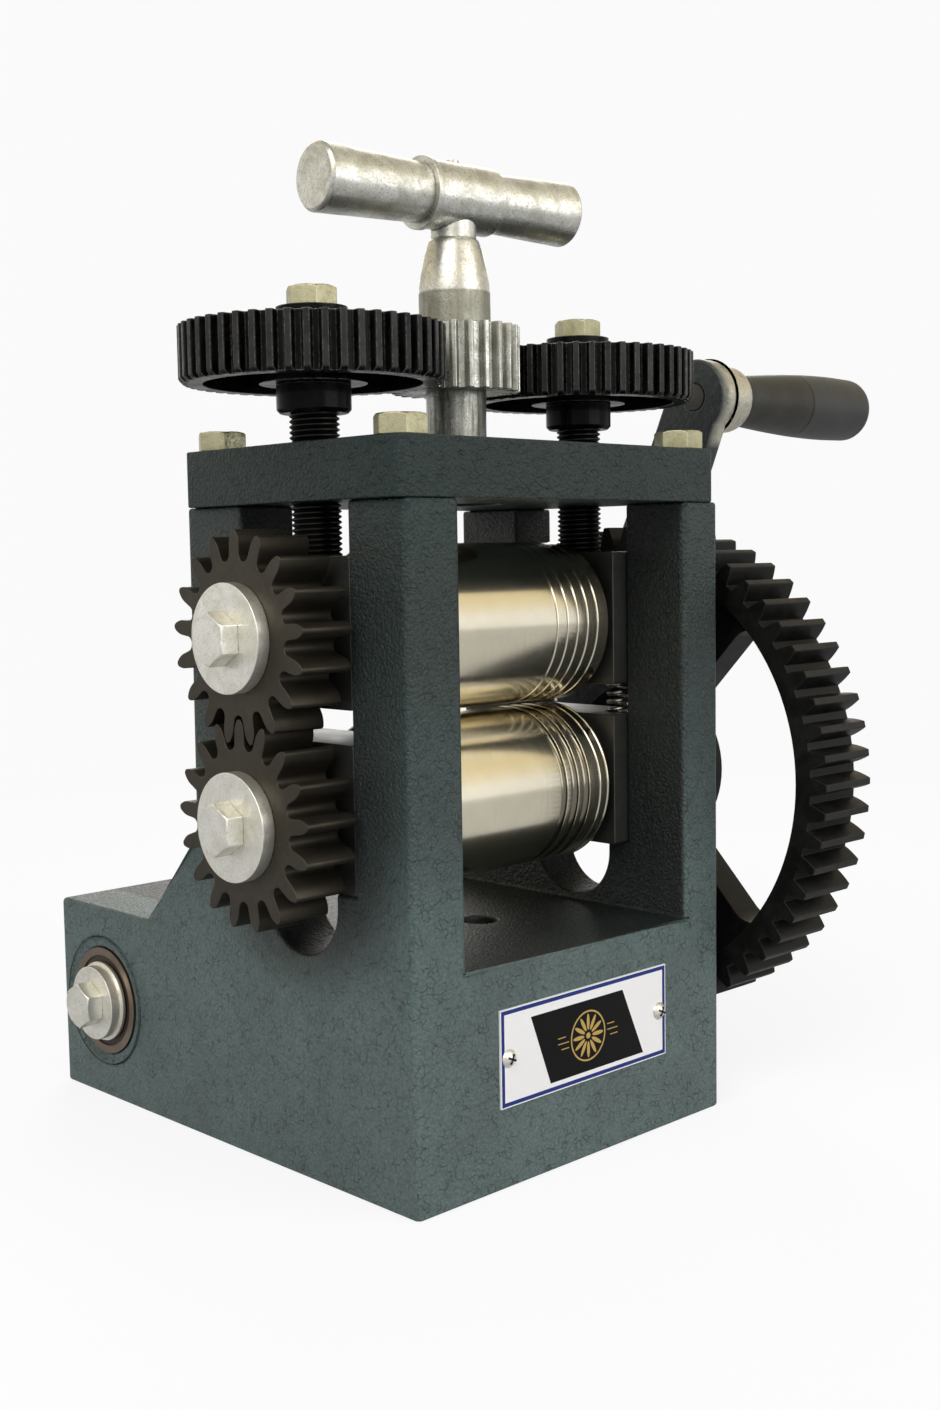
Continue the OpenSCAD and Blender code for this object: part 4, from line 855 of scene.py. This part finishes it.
class Finish(Enum):
    """Every finish on the mill, with the record's slot that it belongs to."""

    # The frame's darker top, its throat and slot pockets and its rings round the gears are painted
    # shade.
    FRAME = ("frame_paint", HammerEnamel(
        "frame_enamel", (0.085, 0.127, 0.123), (0.129, 0.178, 0.172),
        top_shade=(0.07, 0.25, 0.24), pockets=(THROAT_SHADE, SLOT_SHADE), shade_rings=GEAR_SHADE_RINGS))
    PLATE = ("plate_paint", HammerEnamel(
        "plate_enamel", (0.009, 0.023, 0.022), (0.019, 0.038, 0.036), gloss=0.32, wear=0.2))
    ARM = ("arm_paint", HammerEnamel(
        "arm_enamel", (0.028, 0.036, 0.036), (0.048, 0.056, 0.055), scale=420.0,
        depth=0.08 * MM, bare_x=109.5 * MM, bare_ring=BOSS))
    BLACK = ("black_gear", GlossEnamel(
        "black_enamel", (0.0010, 0.0010, 0.0011), (0.45, 0.44, 0.40), SCREW_TIPS,
        tip_share=0.08, gloss=0.05, wear=1.0))
    BULL = ("black_gear", GlossEnamel(
        "gear_black", (0.004, 0.004, 0.0035), (0.12, 0.115, 0.10), BULL_TIPS,
        tip_share=0.12, rough=0.42, gloss=0.12))
    GEAR = ("gear_steel", TurnedSteel(
        "oiled_gear_steel", (0.060, 0.052, 0.039), (0.028, 0.024, 0.018), rough=0.42,
        stretch=(500.0, 500.0, 500.0), metal=0.75))
    CHOCK = ("chock_steel", TurnedSteel(
        "chock_steel", (0.10, 0.10, 0.092), (0.04, 0.04, 0.035), rough=0.42,
        stretch=(120.0, 120.0, 3000.0), metal=0.8))
    ROLL = ("roll_steel", TurnedSteel(
        "roll_steel", (0.85, 0.79, 0.64), (0.68, 0.62, 0.47), rough=0.16,
        stretch=(5200.0, 90.0, 90.0), depth=0.0005 * MM, stain_share=0.35, oiled=GROOVES))
    STEEL = ("ground_steel", TurnedSteel(
        "ground_steel", (0.60, 0.58, 0.54), (0.42, 0.39, 0.33), rough=0.28))
    OXIDE = ("black_oxide", TurnedSteel(
        "black_oxide", (0.012, 0.011, 0.010), (0.005, 0.005, 0.005), rough=0.36,
        stretch=(400.0, 400.0, 400.0), metal=0.6))
    BOLT = ("yellow_zinc", ZincPlate("yellow_zinc", (0.44, 0.42, 0.28), (0.28, 0.26, 0.15)))
    SILVER = ("yellow_zinc", ZincPlate(
        "bright_zinc", (0.88, 0.87, 0.81), (0.58, 0.56, 0.47), rough=0.30))
    CAST = ("cast_zinc", ZincPlate(
        "cast_zinc", (0.68, 0.68, 0.64), (0.30, 0.29, 0.22), rough=0.23, scale=170.0,
        depth=0.025 * MM, pit_share=0.55, raw_band=(0.2438, 0.2537),
        pockets=(SHAFT_FOOT, PINION_ZONE)))
    BRONZE = ("bronze", TurnedSteel("bronze", (0.60, 0.40, 0.17), (0.38, 0.24, 0.10), rough=0.32))
    SHIELD = ("brown_shield", TurnedSteel(
        "dark_shield", (0.050, 0.036, 0.026), (0.020, 0.015, 0.010), rough=0.45, metal=0.5))
    RING = ("ground_steel", TurnedSteel(
        "bearing_ring", (0.26, 0.20, 0.155), (0.12, 0.085, 0.060), rough=0.34))
    SHEET = ("name_sheet", PrintedSheet("printed_white", (0.92, 0.91, 0.90)))
    BORDER = ("name_sheet", PrintedSheet("printed_blue", (0.014, 0.030, 0.19), gloss=0.2))
    PANEL = ("name_sheet", PrintedSheet("printed_black", (0.003, 0.003, 0.003), gloss=0.12))
    GILT = ("name_sheet", PrintedSheet("printed_gold", (0.62, 0.42, 0.12), rough=0.28, metal=0.5))
    GRIP = ("grip_lacquer", GripLacquer(
        "grip_lacquer", (0.020, 0.019, 0.014), (0.030, 0.031, 0.030), ring_x=164 * MM))

    def __init__(self, slot: str, recipe: Recipe) -> None:
        """Keeps the slot's name and the recipe of the material."""
        self.slot = slot
        self.recipe = recipe

    def material(self) -> bpy.types.Material:
        """Builds the material once and gives it back afterwards.

        Returns:
            The material.
        """
        if self.name not in BUILT:
            BUILT[self.name] = self.recipe.build()
        return BUILT[self.name]


def add_piece(name: str, shape: bmesh.types.BMesh, body: str | None, finish: Finish,
              smooth: float = 40.0) -> bpy.types.Object:
    """Turns a bmesh into a piece that rides on a CAD body.

    Args:
        name: The piece's name.
        shape: The bmesh, in place; it is freed.
        body: The body that the piece rides on, or None for one that rides on no body.
        finish: The piece's finish.
        smooth: Largest angle that is shaded smooth, in degrees.

    Returns:
        The new object.
    """
    mesh = bpy.data.meshes.new(name)
    shape.to_mesh(mesh)
    shape.free()
    mesh.shade_smooth()
    mesh.set_sharp_from_angle(angle=math.radians(smooth))
    piece = bpy.data.objects.new(name, mesh)
    bpy.context.scene.collection.objects.link(piece)
    piece.data.materials.append(finish.material())
    if body is not None:
        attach(piece, body)
    LOG.info("%s rides on %s", name, body or "a blend")
    return piece


def box_of(node: str) -> tuple[Vector, Vector, Vector]:
    """Gives the lowest corner, the highest corner and the middle of a CAD node's box."""
    low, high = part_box(node)
    return low, high, (low + high) / 2


def dress(finish: Finish, *nodes: str) -> None:
    """Gives CAD nodes their finish, and keeps their shapes.

    Args:
        finish: The finish.
        *nodes: The nodes.
    """
    for node in nodes:
        item = frame["nodes"][node]
        item.data.materials.clear()
        item.data.materials.append(finish.material())
        LOG.info("%s is dressed", node)


def soften(finish: Finish, edge: Edge, *nodes: str, segments: int = 2) -> None:
    """Stands copies of CAD nodes with rounded edges in their places.

    Args:
        finish: The copies' finish.
        edge: Width of the rounding.
        *nodes: The CAD nodes.
        segments: Faces across the rounding.
    """
    for node in nodes:
        source = frame["nodes"][node]
        shape = bmesh.new()
        shape.from_mesh(source.data)
        bmesh.ops.remove_doubles(shape, verts=shape.verts, dist=WELD)
        bmesh.ops.dissolve_limit(shape, angle_limit=FLAT, verts=shape.verts, edges=shape.edges)
        sharp = [line for line in shape.edges
                 if len(line.link_faces) == 2 and line.calc_face_angle() > CREASE]
        bmesh.ops.bevel(shape, geom=sharp, offset=edge.value, offset_type="OFFSET",
                        segments=segments, profile=0.5, affect="EDGES", clamp_overlap=False,
                        material=-1)
        piece = add_piece(f"{node}_soft", shape, source["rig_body"], finish, SOFT_SHADING)
        piece.modifiers.new("weighted", "WEIGHTED_NORMAL").keep_sharp = True
        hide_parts(node)


@dataclass
class Housing:
    """Casting, top plate and its bolts, and the idler's stud and ring."""

    def build(self) -> None:
        """Dresses the housing."""
        soften(Finish.FRAME, Edge.CAST, "frame_casting", segments=3)
        soften(Finish.PLATE, Edge.SAWN, "top_plate")
        soften(Finish.BOLT, Edge.TURNED, "top_plate_bolts")
        dress(Finish.STEEL, "idler_stud")
        dress(Finish.GEAR, "idler_ring")


@dataclass
class NameSheet:
    """Nameplate with a blue border and a slanted dark panel that holds a plain rosette."""

    margin: float = 0.35 * MM
    border: float = 1.6 * MM
    ink: float = 0.04 * MM
    panel_low: Point = (-0.22, 0.35, -0.40)
    panel_high: Point = (-0.33, 0.22, 0.353)
    petals: int = 12
    petal: Span = (0.60 * MM, 2.4 * MM)
    petal_at: float = 4.1 * MM
    petal_steps: int = 16
    eye_r: float = 0.9 * MM
    eye_steps: int = 24
    ring_r: float = 7.5 * MM
    ring_w: float = 0.5 * MM
    ring_steps: int = 64
    bar: Span = (4.6 * MM, 0.28 * MM)
    bar_at: float = 10.6 * MM
    bar_step: float = 1.7 * MM
    bar_short: float = 0.7
    bar_lean: float = 0.4
    cross: Span = (0.56, 0.12)
    cross_tilts: Span = (25.0, 115.0)
    cross_deep: float = 0.6 * MM
    cross_at: float = 0.28 * MM
    cross_edge: float = 0.05 * MM

    def build(self) -> None:
        """Dresses the sheet and lays its print on."""
        dress(Finish.SHEET, "nameplate")
        soften(Finish.SILVER, Edge.SHARP, "nameplate_screws")
        self._frame()
        self._panel()
        self._ornament()
        self._crosses()

    @staticmethod
    def _size() -> Vector:
        """Gives the sheet's width and height."""
        low, high, _ = box_of("nameplate")
        return Vector((high.x - low.x, high.z - low.z))

    def _ornament(self) -> None:
        """Lays a gold rosette in a ring, with short bars beside it."""
        shape = bmesh.new()
        leaf = bmesh.ops.create_circle(shape, cap_ends=True, segments=self.petal_steps,
                                       radius=1.0)["verts"]
        bmesh.ops.scale(shape, vec=(*self.petal, 1.0), verts=leaf)
        bmesh.ops.translate(shape, vec=(0, self.petal_at, 0), verts=leaf)
        bmesh.ops.spin(shape, geom=shape.verts[:] + shape.edges[:] + shape.faces[:],
                       cent=(0, 0, 0), axis=(0, 0, 1), dvec=(0, 0, 0),
                       angle=math.tau * (1 - 1 / self.petals), steps=self.petals - 1,
                       use_merge=False, use_duplicate=True)
        bmesh.ops.create_circle(shape, cap_ends=True, segments=self.eye_steps, radius=self.eye_r)
        rim = bmesh.ops.create_circle(shape, cap_ends=True, segments=self.ring_steps,
                                      radius=self.ring_r)["verts"]
        disc = list({face for vert in rim for face in vert.link_faces})
        bmesh.ops.inset_region(shape, faces=disc, thickness=self.ring_w, depth=0,
                               use_boundary=True)
        bmesh.ops.delete(shape, geom=disc, context="FACES")
        for side in (-1, 1):
            for row in (-1, 0, 1):
                bar = bmesh.ops.create_grid(shape, x_segments=1, y_segments=1, size=0.5)["verts"]
                length = self.bar[0] * (1.0 if row == 0 else self.bar_short)
                bmesh.ops.scale(shape, vec=(length, self.bar[1], 1.0), verts=bar)
                x = side * self.bar_at - self.bar_lean * row * self.bar_step
                bmesh.ops.translate(shape, vec=(x, row * self.bar_step, 0), verts=bar)
        spots = (*self.panel_low[:2], *self.panel_high[:2])
        width, height = self._size()
        levels = (self.panel_low[2], self.panel_high[2])
        middle = (sum(spots) / len(spots) * width, sum(levels) / len(levels) * height,
                  self.ink)
        bmesh.ops.translate(shape, vec=middle, verts=shape.verts)
        self._lay(shape, "name_rosette", Finish.GILT)

    def _crosses(self) -> None:
        """Sinks a dark cross in each of the nameplate's screws."""
        low, high, middle = box_of("nameplate_screws")
        width = high.z - low.z
        shape = bmesh.new()
        for x in (low.x + width / 2, high.x - width / 2):
            for tilt in self.cross_tilts:
                slot = bmesh.ops.create_cube(shape, size=1.0)["verts"]
                size = (self.cross[0] * width, self.cross_deep, self.cross[1] * width)
                bmesh.ops.scale(shape, vec=size, verts=slot)
                turn = Matrix.Rotation(math.radians(tilt), 4, "Y")
                at = Vector((x, low.y + self.cross_at, middle.z))
                bmesh.ops.transform(shape, matrix=Matrix.Translation(at) @ turn, verts=slot)
        bmesh.ops.bevel(shape, geom=shape.edges[:], offset=self.cross_edge, offset_type="OFFSET",
                        segments=1, profile=0.5, affect="EDGES", clamp_overlap=True, material=-1)
        add_piece("name_screw_crosses", shape, "root", Finish.OXIDE)

    def _frame(self) -> None:
        """Lays the blue border along the sheet's edges."""
        shape = bmesh.new()
        bmesh.ops.create_grid(shape, x_segments=1, y_segments=1, size=0.5)
        width, height = self._size() - Vector((2, 2)) * self.margin
        bmesh.ops.scale(shape, vec=(width, height, 1), verts=shape.verts)
        middle = shape.faces[:]
        bmesh.ops.inset_region(shape, faces=middle, thickness=self.border, depth=0,
                               use_boundary=True)
        bmesh.ops.delete(shape, geom=middle, context="FACES")
        self._lay(shape, "name_border", Finish.BORDER)

    def _panel(self) -> None:
        """Lays the slanted dark panel."""
        width, height = self._size()
        (left, right, foot), (top_left, top_right, top) = self.panel_low, self.panel_high
        corners = ((left, foot), (right, foot), (top_right, top), (top_left, top))
        shape = bmesh.new()
        shape.faces.new([shape.verts.new((x * width, z * height, 0)) for x, z in corners])
        self._lay(shape, "name_panel", Finish.PANEL)

    def _lay(self, shape: bmesh.types.BMesh, name: str, finish: Finish) -> None:
        """Gives flat ink its thickness and sets it on the sheet's face.

        Args:
            shape: Flat ink in the XY plane about the origin.
            name: The piece's name.
            finish: The ink's finish.
        """
        raised = bmesh.ops.extrude_face_region(shape, geom=list(shape.faces))
        verts = [item for item in raised["geom"] if isinstance(item, bmesh.types.BMVert)]
        bmesh.ops.translate(shape, vec=(0, 0, self.ink), verts=verts)
        bmesh.ops.recalc_face_normals(shape, faces=shape.faces)
        low, _, middle = box_of("nameplate")
        at = Matrix.Translation((middle.x, low.y, middle.z))
        turn = Matrix.Rotation(math.radians(90), 4, "X")
        bmesh.ops.transform(shape, matrix=at @ turn, verts=shape.verts)
        add_piece(name, shape, "root", finish)


@dataclass
class RollStand:
    """Rolls, chocks, bushes and lift springs."""

    wire_r: float = 0.6 * MM
    wire_steps: int = 10
    coil_r: float = 3.3 * MM
    coils: int = 6
    steps: int = 20

    def build(self) -> None:
        """Dresses the rolls and their bearings."""
        soften(Finish.ROLL, Edge.SHARP, "lower_roll", "upper_roll")
        soften(Finish.CHOCK, Edge.TURNED, "lower_chock_left", "lower_chock_right",
               "upper_chock_left", "upper_chock_right")
        dress(Finish.BRONZE, "lower_roll_bushes", "upper_roll_bushes")
        self._springs()

    def _springs(self) -> None:
        """Winds the four springs that lift the upper chocks."""
        low, high, _ = box_of("lift_springs")
        outer = self.coil_r + self.wire_r
        rise = (high.z - low.z - 2 * self.wire_r) / self.coils
        upright = Matrix.Rotation(math.radians(90), 4, "X")
        shape = bmesh.new()
        for x in (low.x + outer, high.x - outer):
            for y in (low.y + outer, high.y - outer):
                wire = bmesh.ops.create_circle(shape, cap_ends=False, segments=self.wire_steps,
                                               radius=self.wire_r)["verts"]
                edges = list({edge for vert in wire for edge in vert.link_edges})
                at = Matrix.Translation((x + self.coil_r, y, low.z + self.wire_r))
                bmesh.ops.transform(shape, matrix=at @ upright, verts=wire)
                last = bmesh.ops.spin(
                    shape, geom=wire + edges, cent=(x, y, 0), axis=(0, 0, 1),
                    dvec=(0, 0, rise / self.steps), angle=math.tau * self.coils,
                    steps=self.coils * self.steps, use_merge=False,
                    use_duplicate=False)["geom_last"]
                far = [item for item in last if isinstance(item, bmesh.types.BMEdge)]
                for loop in (edges, far):
                    bmesh.ops.contextual_create(shape, geom=loop)
        bmesh.ops.recalc_face_normals(shape, faces=shape.faces)
        piece = add_piece("lift_coils", shape, None, Finish.STEEL)
        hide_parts("lift_springs")
        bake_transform(piece)


@dataclass
class RollGears:
    """Long-toothed gears that couple the rolls, with their keys, washers and bolts."""

    def build(self) -> None:
        """Dresses the gears."""
        for roll in ("lower", "upper"):
            soften(Finish.GEAR, Edge.TURNED, f"{roll}_roll_gear")
            dress(Finish.STEEL, f"{roll}_roll_gear_key")
            soften(Finish.SILVER, Edge.TURNED, f"{roll}_gear_washer", f"{roll}_gear_bolt")


@dataclass
class SettingScrews:
    """Twin setting screws with their threads, collars, gears and bolts."""

    pitch: float = 1.5 * MM
    depth: float = 0.85 * MM
    crest: Span = (0.40, 0.60)
    steps: int = 40
    lead_in: float = 1.5
    spare_turns: int = 3
    overlap: float = 0.5 * MM
    weld: float = 0.001 * MM
    cut: float = 0.0001 * MM
    smooth: float = 30.0

    def build(self) -> None:
        """Dresses both screws and cuts their threads."""
        for side in ("left", "right"):
            soften(Finish.BLACK, Edge.SHARP, f"{side}_screw_gear")
            soften(Finish.BLACK, Edge.TURNED, f"{side}_screw_collar")
            soften(Finish.BOLT, Edge.TURNED, f"{side}_screw_bolt")
            self._thread(side)

    def _thread(self, side: str) -> None:
        """Stands a threaded screw in the place of a plain one.

        Args:
            side: Name of the side, left or right.
        """
        low, high, middle = box_of(f"{side}_screw")
        collar = box_of(f"{side}_screw_collar")[0].z
        crest = (high.x - low.x) / 2
        root = crest - self.depth
        turns = int((collar - low.z) / self.pitch) + self.spare_turns
        outline = []
        for turn in range(turns):
            foot = low.z + (turn - self.lead_in) * self.pitch
            outline += [(foot, root), *((foot + part * self.pitch, crest) for part in self.crest)]
        outline.append((low.z + (turns - self.lead_in) * self.pitch, root))
        shape = bmesh.new()
        points = [shape.verts.new((radius, 0, height)) for height, radius in outline]
        edges = [shape.edges.new(pair) for pair in zip(points, points[1:])]
        bmesh.ops.spin(shape, geom=points + edges, cent=(0, 0, 0), axis=(0, 0, 1),
                       dvec=(0, 0, self.pitch / self.steps), angle=math.tau, steps=self.steps,
                       use_merge=False, use_duplicate=False)
        bmesh.ops.remove_doubles(shape, verts=shape.verts, dist=self.weld)
        for height, outward in ((low.z, -1), (collar + self.overlap, 1)):
            cut = bmesh.ops.bisect_plane(
                shape, geom=shape.verts[:] + shape.edges[:] + shape.faces[:], dist=self.cut,
                plane_co=(0, 0, height), plane_no=(0, 0, outward), clear_outer=True)["geom_cut"]
            rim = [item for item in cut if isinstance(item, bmesh.types.BMEdge)]
            bmesh.ops.contextual_create(shape, geom=rim)
        bmesh.ops.recalc_face_normals(shape, faces=shape.faces)
        bmesh.ops.translate(shape, vec=(middle.x, middle.y, 0), verts=shape.verts)
        piece = add_piece(f"{side}_screw_thread", shape, f"{side}_screw", Finish.OXIDE,
                          smooth=self.smooth)
        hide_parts(f"{side}_screw")


@dataclass
class THandle:
    """T handle with its shaft, pinion, sleeve, bar and keeper."""

    def build(self) -> None:
        """Dresses the handle."""
        soften(Finish.CAST, Edge.TURNED, "t_shaft", "t_pinion", "t_sleeve", "t_bar")
        soften(Finish.STEEL, Edge.SHARP, "t_bar_pin")
        dress(Finish.GEAR, "t_retainer_washer")
        dress(Finish.BOLT, "t_retainer_screw")


@dataclass
class DriveTrain:
    """Large spoked gear, idler and crank pinion."""

    def build(self) -> None:
        """Dresses the drive."""
        soften(Finish.BULL, Edge.TURNED, "bull_gear")
        soften(Finish.GEAR, Edge.SHARP, "crank_pinion", "idler_gear")
        dress(Finish.BRONZE, "idler_bush")
        dress(Finish.STEEL, "bull_gear_key")
        soften(Finish.BOLT, Edge.TURNED, "bull_gear_washer", "bull_gear_bolt")


@dataclass
class Crank:
    """Crank shaft in its bearings, the arm and the grip."""

    def build(self) -> None:
        """Dresses the crank."""
        soften(Finish.ARM, Edge.CAST, "crank_arm", segments=3)
        dress(Finish.STEEL, "crank_shaft", "crank_key", "bearing_balls")
        dress(Finish.RING, "bearing_inner_rings", "bearing_outer_rings")
        dress(Finish.CHOCK, "grip_spindle")
        dress(Finish.SHIELD, "bearing_shields")
        soften(Finish.SILVER, Edge.TURNED, "crank_arm_washer", "crank_arm_bolt",
               "crank_end_washer", "crank_end_bolt")
        soften(Finish.GRIP, Edge.TURNED, "handle_grip")


@dataclass
class Studio:
    """Camera, pale floor and soft lamps."""

    place: Point = (-0.3514, -0.3598, 0.1760)
    yaw: float = 44.10
    pitch: float = 5.19
    roll: float = 0.91
    focal_px: float = 1642.2
    long_side_px: float = 1410.0
    sensor: float = 36.0
    clip: float = 0.01
    floor_size: float = 6.0
    floor_colour: Colour = (0.86, 0.86, 0.86)
    floor_rough: float = 0.9
    floor_gloss: float = 0.1
    white: float = 0.955
    ambient: float = 0.30
    fade: Span = (0.25, 0.80)
    near_share: float = 0.75
    near_glow: float = 1.08
    mirror_share: float = 0.75
    mirror_glow: float = 0.50
    hood: tuple[tuple[float, Colour], ...] = (
        (0.0, (1.0, 1.0, 1.0)),
        (0.16, (1.0, 1.0, 1.0)),
        (0.30, (0.95, 0.87, 0.68)),
        (0.48, (0.88, 0.76, 0.50)),
        (0.62, (0.97, 0.87, 0.65)),
        (0.76, (0.90, 0.81, 0.60)),
        (0.88, (0.42, 0.42, 0.40)),
    )
    lamps: tuple[tuple[str, Point, float, float], ...] = (
        ("key", (-1.2, -0.5, 1.3), 1.2, 16.0),
        ("front", (0.4, -1.6, 0.7), 1.4, 13.0),
        ("back", (1.3, 1.4, 1.1), 1.2, 12.0),
    )
    aim: Point = (0.0, 0.0, 0.12)

    def build(self) -> None:
        """Sets up the whole studio."""
        self._camera()
        self._floor()
        self._world()
        self._lamps()
        bpy.context.scene.view_settings.view_transform = "Standard"

    def _camera(self) -> None:
        """Stands the camera where the photograph was taken from."""
        yaw, pitch, roll = (math.radians(angle) for angle in (self.yaw, self.pitch, self.roll))
        ahead = Vector((math.sin(yaw) * math.cos(pitch), math.cos(yaw) * math.cos(pitch),
                        -math.sin(pitch)))
        level = Vector((math.cos(yaw), -math.sin(yaw), 0))
        down = ahead.cross(level)
        right = math.cos(roll) * level + math.sin(roll) * down
        below = -math.sin(roll) * level + math.cos(roll) * down
        data = bpy.data.cameras.new("camera")
        data.sensor_width = self.sensor
        data.lens = self.focal_px / self.long_side_px * self.sensor
        data.clip_start = self.clip
        camera = bpy.data.objects.new("camera", data)
        bpy.context.scene.collection.objects.link(camera)
        turn = Matrix((right, -below, -ahead)).transposed().to_4x4()
        camera.matrix_world = Matrix.Translation(self.place) @ turn
        bpy.context.scene.camera = camera

    def _floor(self) -> None:
        """Lays a pale floor that shows white to the camera and keeps the mill's shadow."""
        shape = bmesh.new()
        bmesh.ops.create_grid(shape, x_segments=1, y_segments=1, size=self.floor_size / 2)
        mesh = bpy.data.meshes.new("floor")
        shape.to_mesh(mesh)
        shape.free()
        floor = bpy.data.objects.new("floor", mesh)
        bpy.context.scene.collection.objects.link(floor)
        skin = Surface("floor")
        skin.set(Base_Color=self.floor_colour, Roughness=self.floor_rough,
                 Specular_IOR_Level=self.floor_gloss)
        rays = skin.add("ShaderNodeLightPath").outputs
        mirrored = rays["Is Glossy Ray"]
        away = skin.vector("LENGTH", skin.place)
        plain = skin.ramp(away, *self.fade, self.near_glow, self.white)
        strength = skin.math("ADD", skin.times(plain, skin.math("SUBTRACT", 1.0, mirrored)),
                             skin.times(mirrored, self.mirror_glow))
        glow = skin.add("ShaderNodeEmission", in_Color=(1.0, 1.0, 1.0), in_Strength=strength)
        seen = skin.math("MAXIMUM", rays["Is Camera Ray"], skin.times(mirrored, self.mirror_share))
        share = skin.times(seen, skin.ramp(away, *self.fade, self.near_share, 1.0))
        blend = skin.add("ShaderNodeMixShader", in_0=share, in_1=skin.shader.outputs[0],
                         in_2=glow.outputs[0])
        output = skin.tree.nodes["Material Output"]
        skin.feed(output.inputs["Surface"], blend.outputs[0])
        mesh.materials.append(skin.material)

    def _world(self) -> None:
        """Makes the surroundings white to look at and soft as light."""
        world = bpy.data.worlds.new("studio")
        bpy.context.scene.world = world
        world.use_nodes = True
        tree = Tree(world.node_tree)
        sky = world.node_tree.nodes["Background"]
        rays = tree.add("ShaderNodeLightPath").outputs
        seen = tree.math("MAXIMUM", rays["Is Camera Ray"], rays["Is Glossy Ray"])
        seen = tree.math("MAXIMUM", seen, rays["Is Transmission Ray"])
        height = tree.parts(tree.add("ShaderNodeTexCoord").outputs["Generated"])[2]
        hood = tree.add("ShaderNodeValToRGB", in_Fac=height)
        stops = hood.color_ramp.elements
        while len(stops) < len(self.hood):
            stops.new(1.0)
        for stop, (level, colour) in zip(stops, self.hood):
            stop.position = level
            stop.color = (*colour, 1.0)
        white = (1.0, 1.0, 1.0)
        around = tree.mix(rays["Is Camera Ray"], hood.outputs["Color"], white)
        tree.feed(sky.inputs["Color"], tree.mix(seen, white, around))
        tree.feed(sky.inputs["Strength"], tree.between(seen, self.ambient, self.white))

    def _lamps(self) -> None:
        """Hangs the soft lamps."""
        for name, place, size, power in self.lamps:
            data = bpy.data.lights.new(name, "AREA")
            data.size = size
            data.energy = power
            lamp = bpy.data.objects.new(name, data)
            bpy.context.scene.collection.objects.link(lamp)
            aim = Vector(self.aim) - Vector(place)
            lamp.rotation_euler = aim.to_track_quat("-Z", "Y").to_euler()
            lamp.location = place


def main() -> None:
    """Builds the studio and every part of the mill."""
    logging.basicConfig(level=logging.INFO, format="%(name)s: %(message)s")
    for part in (Studio(), Housing(), NameSheet(), RollStand(), RollGears(), SettingScrews(),
                 THandle(), DriveTrain(), Crank()):
        part.build()


if __name__ == "__main__":
    main()
